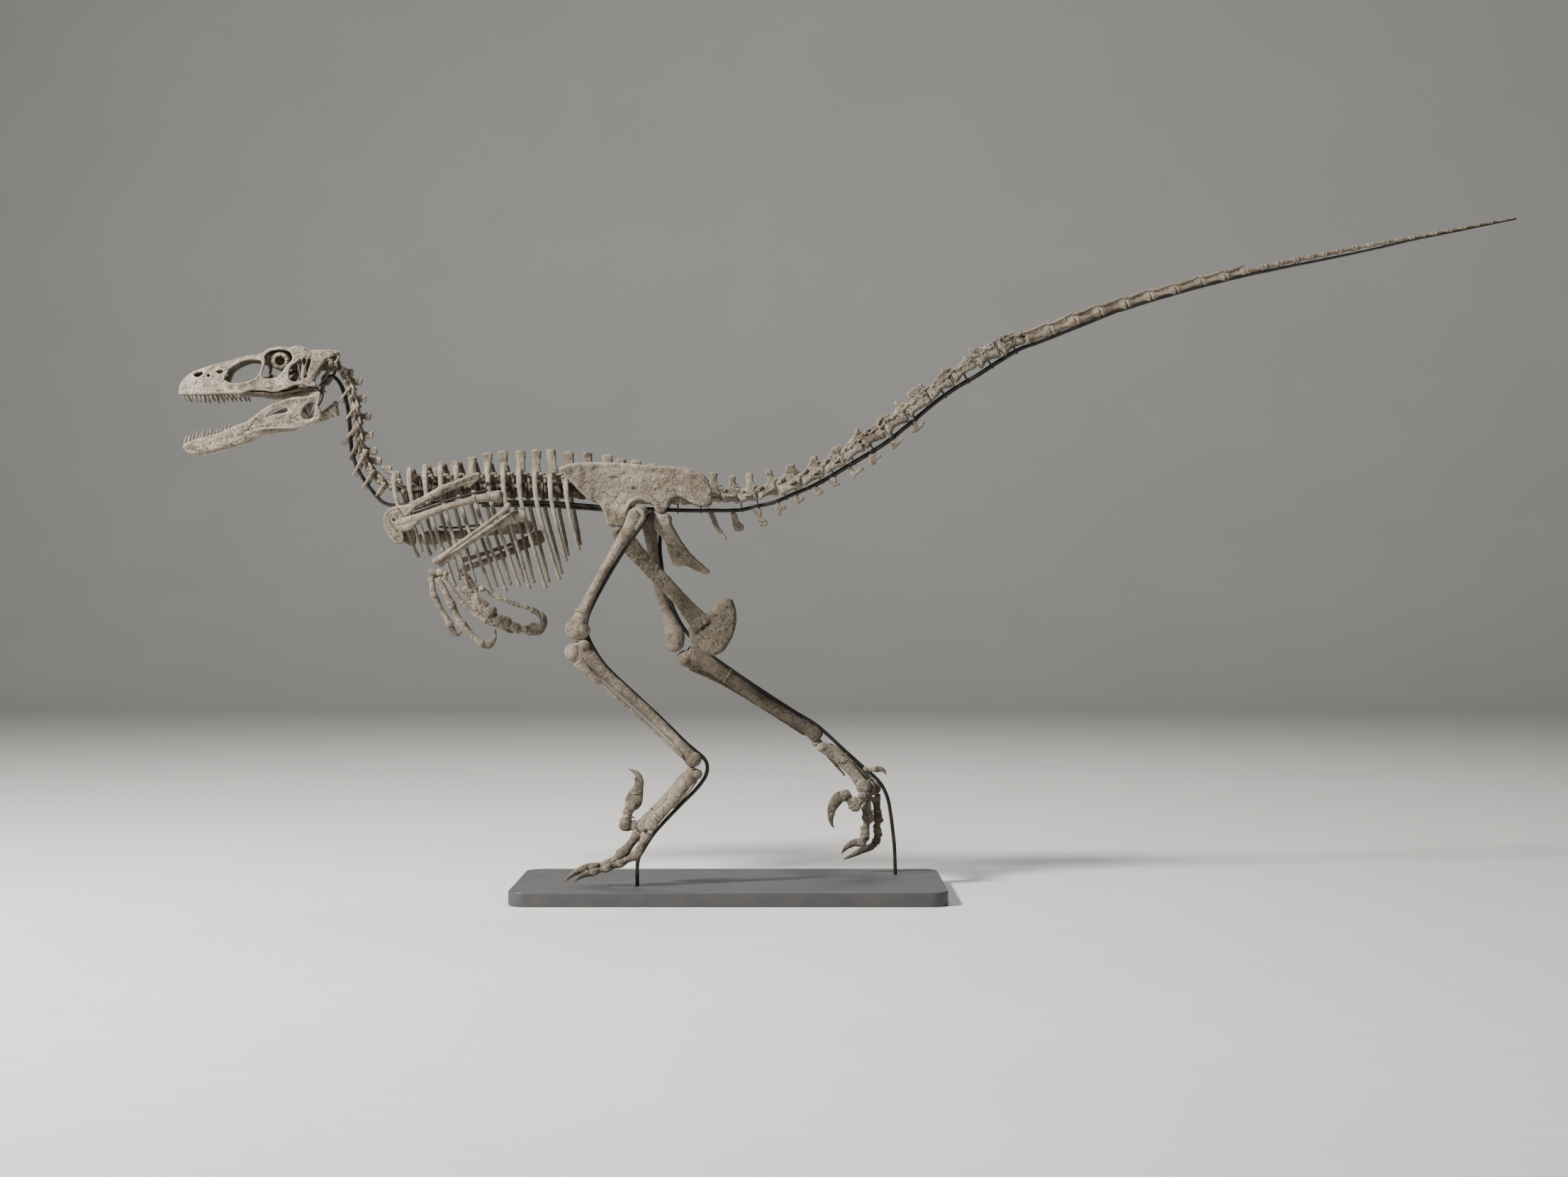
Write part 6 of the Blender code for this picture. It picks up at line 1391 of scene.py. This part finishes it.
def tailRoot(i):
    # a vertebra of the first part: its outline filled out, thickest at the level of the spool, where half
    # the thickness falls off as a bell curve upwards and as one of the fourth power downwards
    outline = tailShape["outlines"][i]
    middle = np.mean(outline, axis=0)
    slope = (tailHeight(middle[0] + 12) - tailHeight(middle[0] - 12)) / 24
    level = tailHeight(middle[0]) - 2
    thin, more = (3.6, 10.5) if i < 7 else (7.5, 6.5)

    def half(x, v, d):
        over = (v - level - slope * (x - middle[0])) / math.hypot(1, slope)
        above, below = np.clip(over, 0, None), np.clip(-over, 0, None)
        return thin + more * np.exp(-(above / 15)**2) * np.exp(-(below / 22)**4)

    clay = Clay()
    slab(clay, outline, half, 7.5)
    x, z, turn = middle[0], level + 9, math.atan(slope)
    c, s = math.cos(turn), math.sin(turn)
    if i < 7:
        # side processes, flat and swept back
        reach = 36 - 3.4 * i
        both(clay, [(x - 4, -6, z, 5, 9), (x, -reach * 0.55, z - 1, 3, 8.5),
                    (x + 8, -reach, z - 1 + 8 * slope, 2.6, 6.5)], across=(1, 0, slope))
    for lift, push, wide in ((14, -20, 8), (10, 18, 7)):
        # joint processes in pairs
        px, pz, out = x + push * c, z + lift + push * s, math.copysign(9, push)
        both(clay, [(px, -wide, pz, 4.5, 3.6), (px + out * c, -wide - 2, pz + out * s, 4, 3)])
    if i >= 7:
        # long stiffening rods that lie along the arch
        for lift, y, thick in ((17, 4, 3.4), (11, -9, 2.8), (3, 10, 3), (-6, -10, 2.6)):
            bar(clay, [(x + push * c, y + side * 1.5, z + lift + side * 2 + push * s, size, size)
                       for push, side, size in ((-25, 1, thick * 0.7), (-12, -1, thick), (4, 1, thick * 1.2),
                                                (15, -1, thick), (26, 0.5, thick * 0.7))])
        for k in range(9):
            # crusted matrix in lumps, scattered by the golden angle
            push, lift = 22 * math.cos(2.4 * k + i), 13 * math.sin(2.4 * k * 1.7 + i) + 6
            bar(clay, [(x + (push + way) * c, (-1)**k * 8, z + lift + (push + way) * s,
                        size + 0.5 * (k % 3), size)
                       for way, size in ((-12, 1.4), (-4, 2.5), (5, 2.2), (13, 1.2))])
    return clay


def tailBone(i):
    # a spool between two joints; the larger ones also carry a bar on a thin web
    (x, z, radius), (xNext, zNext, radiusNext) = tailShape["joints"][i:i + 2]
    angle = math.atan2(zNext - z, xNext - x)
    h = math.hypot(xNext - x, zNext - z) / 2 - 1.9
    r = (radius + radiusNext) / 2
    clay = Clay()
    bar(clay, [(h * t, 0, 0, r * high, r * wide) for t, high, wide in (
        (-1, 1, 0.86), (-0.88, 1.08, 0.92), (-0.5, 0.74, 0.68), (0, 0.62, 0.6), (0.5, 0.72, 0.66),
        (0.86, 1.08, 0.92), (1, 0.98, 0.84))], sides=24, dome=0.12)
    if x < tailShape["webEnd"]:
        slab(clay, [(h * t, r * up) for t, up in (
            (-0.9, 0.2), (0.3, -0.1), (0.45, 0.6), (0.46, 1.12), (0.78, 1.4), (1.12, 1.62), (1.2, 1.9),
            (1.0, 2.05), (0.5, 1.78), (0, 1.55), (-0.55, 1.42), (-0.84, 1.66), (-1.06, 1.98),
            (-1.14, 1.66), (-0.94, 1.1))], r * 0.3, r * 0.3)
        both(clay, [(h * t, -r * y, r * up, high, wide) for t, y, up, high, wide in (
            (-1.14, 0.3, 1.72, 2.9, 2.2), (-0.5, 0.3, 1.5, 3.2, 2.6), (0.4, 0.22, 1.68, 3.0, 2.4),
            (1.12, 0.16, 1.84, 2.6, 2))])
    clay.placed((x + xNext) / 2, (z + zNext) / 2, angle)
    return clay


def tail():
    # three lengths of vertebrae after their outlines with the chevrons below them, then three of spools
    joints = tailShape["joints"]
    for number, (look, first, last) in enumerate([("hip", 0, 5), ("body", 5, 10), ("rough", 10, 15)], 1):
        skins = [skin(tailRoot(i), 1.5, (0.5 + 0.03 * i, 0.35 + 0.05 * i, 0.8 + 0.05 * i), 300 + i, blend=2)
                 for i in range(first, last)]
        for outline in tailShape["chevrons"]:
            if joints[first][0] - 30 < outline[0][0] < joints[last][0] - 30:
                clay = Clay()
                slab(clay, outline, 3.4, 3.0)
                skins.append(skin(clay, raw=True, rough=(0.5, 0.35, 0.5), seed=int(outline[0][1])))
        piece(f"tail{number}", f"tail_{number}", skins, look)
    for number, (first, last, voxel) in enumerate([(15, 21, 1.3), (21, 28, 1.1), (28, 43, 0.9)], 4):
        skins = [skin(tailBone(i), voxel, (0.3, 0.2, 0.35), 300 + i, blend=2) for i in range(first, last)]
        piece(f"tail{number}", f"tail_{number}", skins, "tail")


standShape = {
    "board": {"length": 960.0, "width": 460.0, "top": 32.0, "corner": 40.0, "edge": 3.0},
    # the rods as x, z at the mid-plane or as x, y, z
    "back": [(-925, 1128), (-919, 1144), (-911, 1162), (-898, 1169), (-887, 1161), (-877, 1146), (-869, 1122),
        (-863, 1098), (-859, 1066), (-857, 1040), (-855, 1010), (-850, 985), (-840, 958), (-824, 932),
        (-806, 908), (-786, 886), (-764, 878), (-740, 878), (-700, 881), (-600, 884), (-500, 885),
        (-400, 883), (-300, 875), (-200, 870), (-100, 866), (-40, 866), (20, 867), (58, 875), (101, 885),
        (143, 903), (186, 921), (228, 944), (271, 970), (313, 995), (355, 1022), (398, 1056), (423, 1077),
        (469, 1115), (514, 1146), (560, 1173), (606, 1203), (651, 1229), (700, 1247), (760, 1271),
        (820, 1295), (880, 1319), (950, 1341), (1050, 1369), (1150, 1394), (1250, 1415), (1350, 1435),
        (1450, 1456), (1550, 1479), (1650, 1498.5), (1774, 1524)],
    "wire": (30, 42), "thinWire": (45, -1),  # which points of the back rod the two bright wires follow
    "neckToHip": [(-560, 876.5), (-430, 876.5), (-330, 870), (-240, 864)],
    "legLeft": [(-172, -84, 862), (-190, -96, 836), (-211, -101, 806), (-238, -101, 767), (-271, -102, 712),
        (-299, -103, 660), (-315, -104, 620), (-314, -105, 588), (-298, -106, 554), (-272, -107, 517),
        (-233, -108, 479), (-183, -109, 433), (-133, -110, 386), (-100, -110, 353), (-77, -110, 333),
        (-56, -110, 315), (-48, -110, 296), (-53, -110, 273), (-73, -110, 246), (-103, -110, 216),
        (-135, -110, 183), (-164, -110, 151), (-188, -110, 115), (-202, -110, 86), (-203, -110, 32.4)],
    "legRight": [(-160, 86, 848), (-162, 88, 818), (-162, 88, 772), (-152, 88, 702), (-136, 88, 654),
        (-119, 88, 617), (-99, 88, 587), (-74, 89, 562), (-45, 90, 536), (-9, 92, 510), (43, 97, 474),
        (94, 102, 440), (145, 108, 407), (190, 110, 380), (225, 111, 351), (257, 112, 321), (298, 112, 284),
        (340, 112, 246), (359, 112, 211), (367, 112, 172), (372, 112, 132), (376, 112, 92), (378, 112, 32.4)],
    "armLeft": [(-700, -117, 858), (-670, -122, 867), (-632, -125, 881), (-622, -125, 884), (-572, -125, 898),
        (-532, -125, 908)],
    "armRight": [(-672, 113, 832), (-640, 116, 830), (-600, 118, 834), (-540, 119, 840), (-496, 120, 848)]}


def taper(x):
    # a rod's thickness, a share of its full one: it grows thinner towards the tip of the tail
    return np.interp(x, [900, 1350, 1776], [1, 0.6, 0.35])


def rod(name, node, *stretches):
    # round rods through points (x, y, z); each stretch has its own radius and finish
    for number, (rows, radius, look) in enumerate(stretches):
        clay = Clay()
        slim = taper([row[0] for row in rows])
        bar(clay, [(*row, radius * s, radius * s) for row, s in zip(rows, slim)],
            sides=14, spacing=5.0, dome=0.4)
        data = skin(clay, raw=True, rough=(0.12, 0.05, 0))
        named = (name + str(number), None) if number else (name, node)
        piece(*named, [data], look, "armature_steel")


def base():
    # a rounded rectangle: rings from the outline, drawn in along the edge's quarter circle, with flat
    # faces closing the top and the underside
    board = standShape["board"]
    corner, e = board["corner"], board["edge"]
    a = np.concatenate([np.linspace(0, math.pi / 2, 17) + k * math.pi / 2 for k in range(4)])
    middleX = np.repeat([1, -1, -1, 1], 17) * (board["length"] / 2 - corner)
    middleY = np.repeat([1, 1, -1, -1], 17) * (board["width"] / 2 - corner)
    bend = np.linspace(0, math.pi / 2, 7)
    insets = np.concatenate([e - e * np.cos(bend[::-1]), e - e * np.cos(bend)])
    heights = np.concatenate([board["top"] - e + e * np.sin(bend[::-1]), e - e * np.sin(bend)])
    points = [np.column_stack([middleX + (corner - inset) * np.cos(a), middleY + (corner - inset) * np.sin(a),
                               np.full(len(a), height)]) for inset, height in zip(insets, heights)]
    n, quads = len(a), ringQuads(len(points), len(a))
    corners = np.concatenate([quads.ravel(), np.arange(n), np.arange(n)[::-1] + (len(points) - 1) * n])
    starts = np.concatenate([np.arange(len(quads)) * 4, [len(quads) * 4, len(quads) * 4 + n]])
    mesh = meshOf("standBase", np.vstack(points), starts, corners)
    mesh.polygons.foreach_set("use_smooth", np.concatenate([np.ones(len(quads), bool), [False, False]]))
    mesh.materials.append(looks["board"])
    made = newObject("standBase", mesh)
    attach(made, "root")
    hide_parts("stand_base")


def stand():
    # the base, then bent rods; two bright wires follow the back rod just below it, along the tail
    shape = standShape
    base()
    back, neckToHip = ([(x, 0, z) for x, z in shape[key]] for key in ("back", "neckToHip"))
    wire = [(x, 1, z - 6.6) for x, _, z in back[slice(*shape["wire"])]]
    thin = [(x, 1, z - 1.3 - 4.2 * taper(x)) for x, _, z in back[slice(*shape["thinWire"])]]
    rod("standBackbone", "stand_backbone", (back, 4.5, "steel"), (wire, 1.3, "brightSteel"),
        (thin, 1.1, "brightSteel"), (neckToHip, 3.4, "steel"))
    ties(np.array(back))
    rod("standLegLeft", "stand_leg_left", (shape["legLeft"], 4.2, "steel"))
    rod("standLegRight", "stand_leg_right", (shape["legRight"], 4.2, "steel"))
    rod("standArmLeft", "stand_arm_left", (shape["armLeft"][:3], 2.2, "steel"),
        (shape["armLeft"][2:], 2.6, "steel"))
    rod("standArmRight", "stand_arm_right", (shape["armRight"], 2.6, "steel"))


def tie(clay, x, y, z, angle, high, wide, thin=1.0):
    # a loop of wire round a bone that runs at `angle` degrees in the side view
    turn, run = math.radians(angle), np.linspace(0, 2 * math.pi, 21)
    rows = [(x - math.sin(turn) * high * math.cos(t), y + wide * math.sin(t),
             z + math.cos(turn) * high * math.cos(t), thin, thin) for t in run]
    bar(clay, rows, across=(math.cos(turn), 0, math.sin(turn)), sides=8, spacing=2.0)


tieShape = {
    # x, y, z, angle of the bone, half height and half width of the loop
    "loops": [(-211, -90, 268, 100, 6.5, 5.5), (-206, -90, 236, 100, 13.5, 7), (-221, -90, 184, 75, 11, 11),
        (-160, -111, 192, 49, 18, 25), (-316, -113, 72, 12, 9, 6.5), (-336, -113, 63, 25, 6.2, 5),
        (-312, -138, 63, 12, 7, 5.5), (-290, -113, 75, 5, 9.5, 9), (-262, -138, 77, 15, 9, 9),
        (258, 96, 206, 150, 13, 7), (235, 96, 172, 75, 6.5, 4.5), (283, 96, 199, 45, 12, 11),
        (314, 120, 166, 90, 12, 12), (305, 120, 110, 80, 10.5, 11), (338, 144, 176, 90, 10.5, 11),
        (273, 120, 99, 25, 8, 6), (292, 145, 79, 20, 7, 5.5), (255, 117, 299, -42, 17.5, 23),
        (333, 84, 276, 0, 7, 5), (-560, -124, 888, 15, 11, 10), (-700, -114, 838, 20, 17, 9),
        (-630, -124, 774, 38, 8, 8), (-482, -119, 853, 30, 15, 9), (-498, 120, 833, 5, 14, 13),
        (-8, 92, 489, -32, 17.5, 13), (-290, -101, 708, 58, 13, 13), (-330, -104, 640, 62, 17, 16)],
    # x along the tail, how far above and below the rod's middle the loop reaches
    "tail": [(27, 12, 5), (64, 14, 5), (126, 12, 5), (151, 13, 5), (206, 12, 5), (234, 14, 5), (280, 16, 6),
        (324, 18, 6), (369, 20, 6), (418, 16, 6), (484, 24, 6), (536, 18, 6), (590, 14, 6), (645, 22, 6),
        (-118, 16, 5), (-66, 12, 5)],
    # short struts at the hinge of the jaw: x, z of their ends
    "jaw": [[(-956, 1096), (-938.5, 1071)], [(-923.5, 1099), (-941, 1071)], [(-931, 1074), (-913.5, 1066)],
        [(-906, 1146), (-911, 1116), (-921, 1096)]]}


def wires(clay, rows, radius, sides=8):
    # a round wire through the points
    bar(clay, [(*row, radius, radius) for row in rows], sides=sides)


def ties(back):
    # loops round the bones and the tail, a short wire from the rod to each chevron, and struts at the jaw
    def height(x):
        return np.interp(x, back[:, 0], back[:, 2])

    light, dark = Clay(), Clay()
    for row in tieShape["loops"]:
        tie(light, *row)
    for x, above, below in tieShape["tail"]:
        z, lift = height(x), (above - below) / 2
        slope = math.degrees(math.atan2(height(x + 8) - z, 8))
        tie(dark, x - lift * math.sin(math.radians(slope)), 0, z + lift, slope,
            (above + below) / 2 + 2, 9, 1.3)
    for outline in tailShape["chevrons"]:
        x, top = np.mean(outline[:2], axis=0)
        z = height(x - 1)
        wires(dark, [(x - 1, 0, z), (x, 0, (z + top) / 2), (x + 1, 0, top - 6)], 1.1)
    wires(light, [(316, 90, 268), (322, 92, 256), (309, 98, 246)], 0.9)
    for rows in tieShape["jaw"]:
        wires(dark, [(x, -50, z) for x, z in rows], 1.7, 10)
    wires(dark, [(-1121, -33, 1026), (-1118, -34, 1014), (-1108, -34, 1009)], 1.5, 10)
    for name, clay, look in (("wireTies", light, "brass"), ("blackTies", dark, "steel")):
        piece(name, None, [skin(clay, raw=True, rough=(0, 0, 0))], look, "armature_steel")


skull()
eachSide(mandible, "jaw", "mandible")
eachSide(eyeRing, "eyeRing", "eye_ring")
print("head made")
neck("neckUpper", "neck_upper", 0, 5, 120)
neck("neckLower", "neck_lower", 5, 10, 130)
trunk()
sacrum()
tail()
print("backbone made")
stand()
print("stand made")


studioShape = {
    # the floor and its wall, in metres
    "width": 24.0, "front": -12.0, "back": 8.5, "bend": 3.0, "height": 12.0,
    # name, place, what it shines at, size, power, colour
    "lights": [("keyLight", (-3.7, -2.3, 3.9), (-0.1, 0.0, 0.8), 0.8, 850, (1.0, 0.97, 0.925)),
        ("fillLight", (3.2, -3.6, 1.6), (0.2, 0.0, 0.7), 3.0, 18, (0.93, 0.96, 1.0)),
        ("topLight", (0.4, 3.2, 5.2), (0.2, 0.0, 0.8), 3.0, 170, (1.0, 0.98, 0.95))],
    "sky": (0.86, 0.88, 0.9, 1), "skyPower": 0.155,
    "camera": (0.1216, -5.6, 0.690), "lens": 56.96}


def studio():
    # a pale floor that curves up into a wall by a quarter circle, three soft lights and the camera
    shape = studioShape
    turn = np.linspace(0, math.pi / 2, 17)
    back, bend = shape["back"], shape["bend"]
    y = np.concatenate([[shape["front"]], back + bend * np.sin(turn), [back + bend]])
    z = np.concatenate([[0.0], bend * (1 - np.cos(turn)), [shape["height"]]])
    n = len(y)
    points = np.concatenate([np.column_stack([np.full(n, side * shape["width"] / 2), y, z])
                             for side in (-1, 1)])
    i = np.arange(n - 1)
    quads = np.column_stack([i, i + n, i + n + 1, i + 1])
    mesh = meshOf("floor", points, *loopsOf(quads, noTriangles), metres=False)
    mesh.polygons.foreach_set("use_smooth", np.ones(n - 1, bool))
    mesh.materials.append(looks["floor"])
    newObject("floor", mesh)
    for name, place, aim, size, power, colour in shape["lights"]:
        lamp = bpy.data.lights.new(name, "AREA")
        lamp.shape, lamp.size, lamp.energy, lamp.color = "DISK", size, power, colour
        way = np.array(aim) - np.array(place)
        made = newObject(name, lamp)
        made.location = place
        made.rotation_euler = (math.pi / 2 + math.atan2(way[2], math.hypot(way[0], way[1])), 0,
                               math.atan2(way[1], way[0]) - math.pi / 2)
    world = bpy.data.worlds.new("room")
    world.use_nodes = True
    sky = world.node_tree.nodes["Background"].inputs
    sky[0].default_value, sky[1].default_value = shape["sky"], shape["skyPower"]
    bpy.context.scene.world = world
    lens = bpy.data.cameras.new("camera")
    lens.lens, lens.sensor_width, lens.clip_end = shape["lens"], 36.0, 60.0
    camera = newObject("camera", lens)
    camera.location, camera.rotation_euler = shape["camera"], (math.pi / 2, 0, 0)
    bpy.context.scene.camera = camera


studio()
print("floor, lights and camera made")
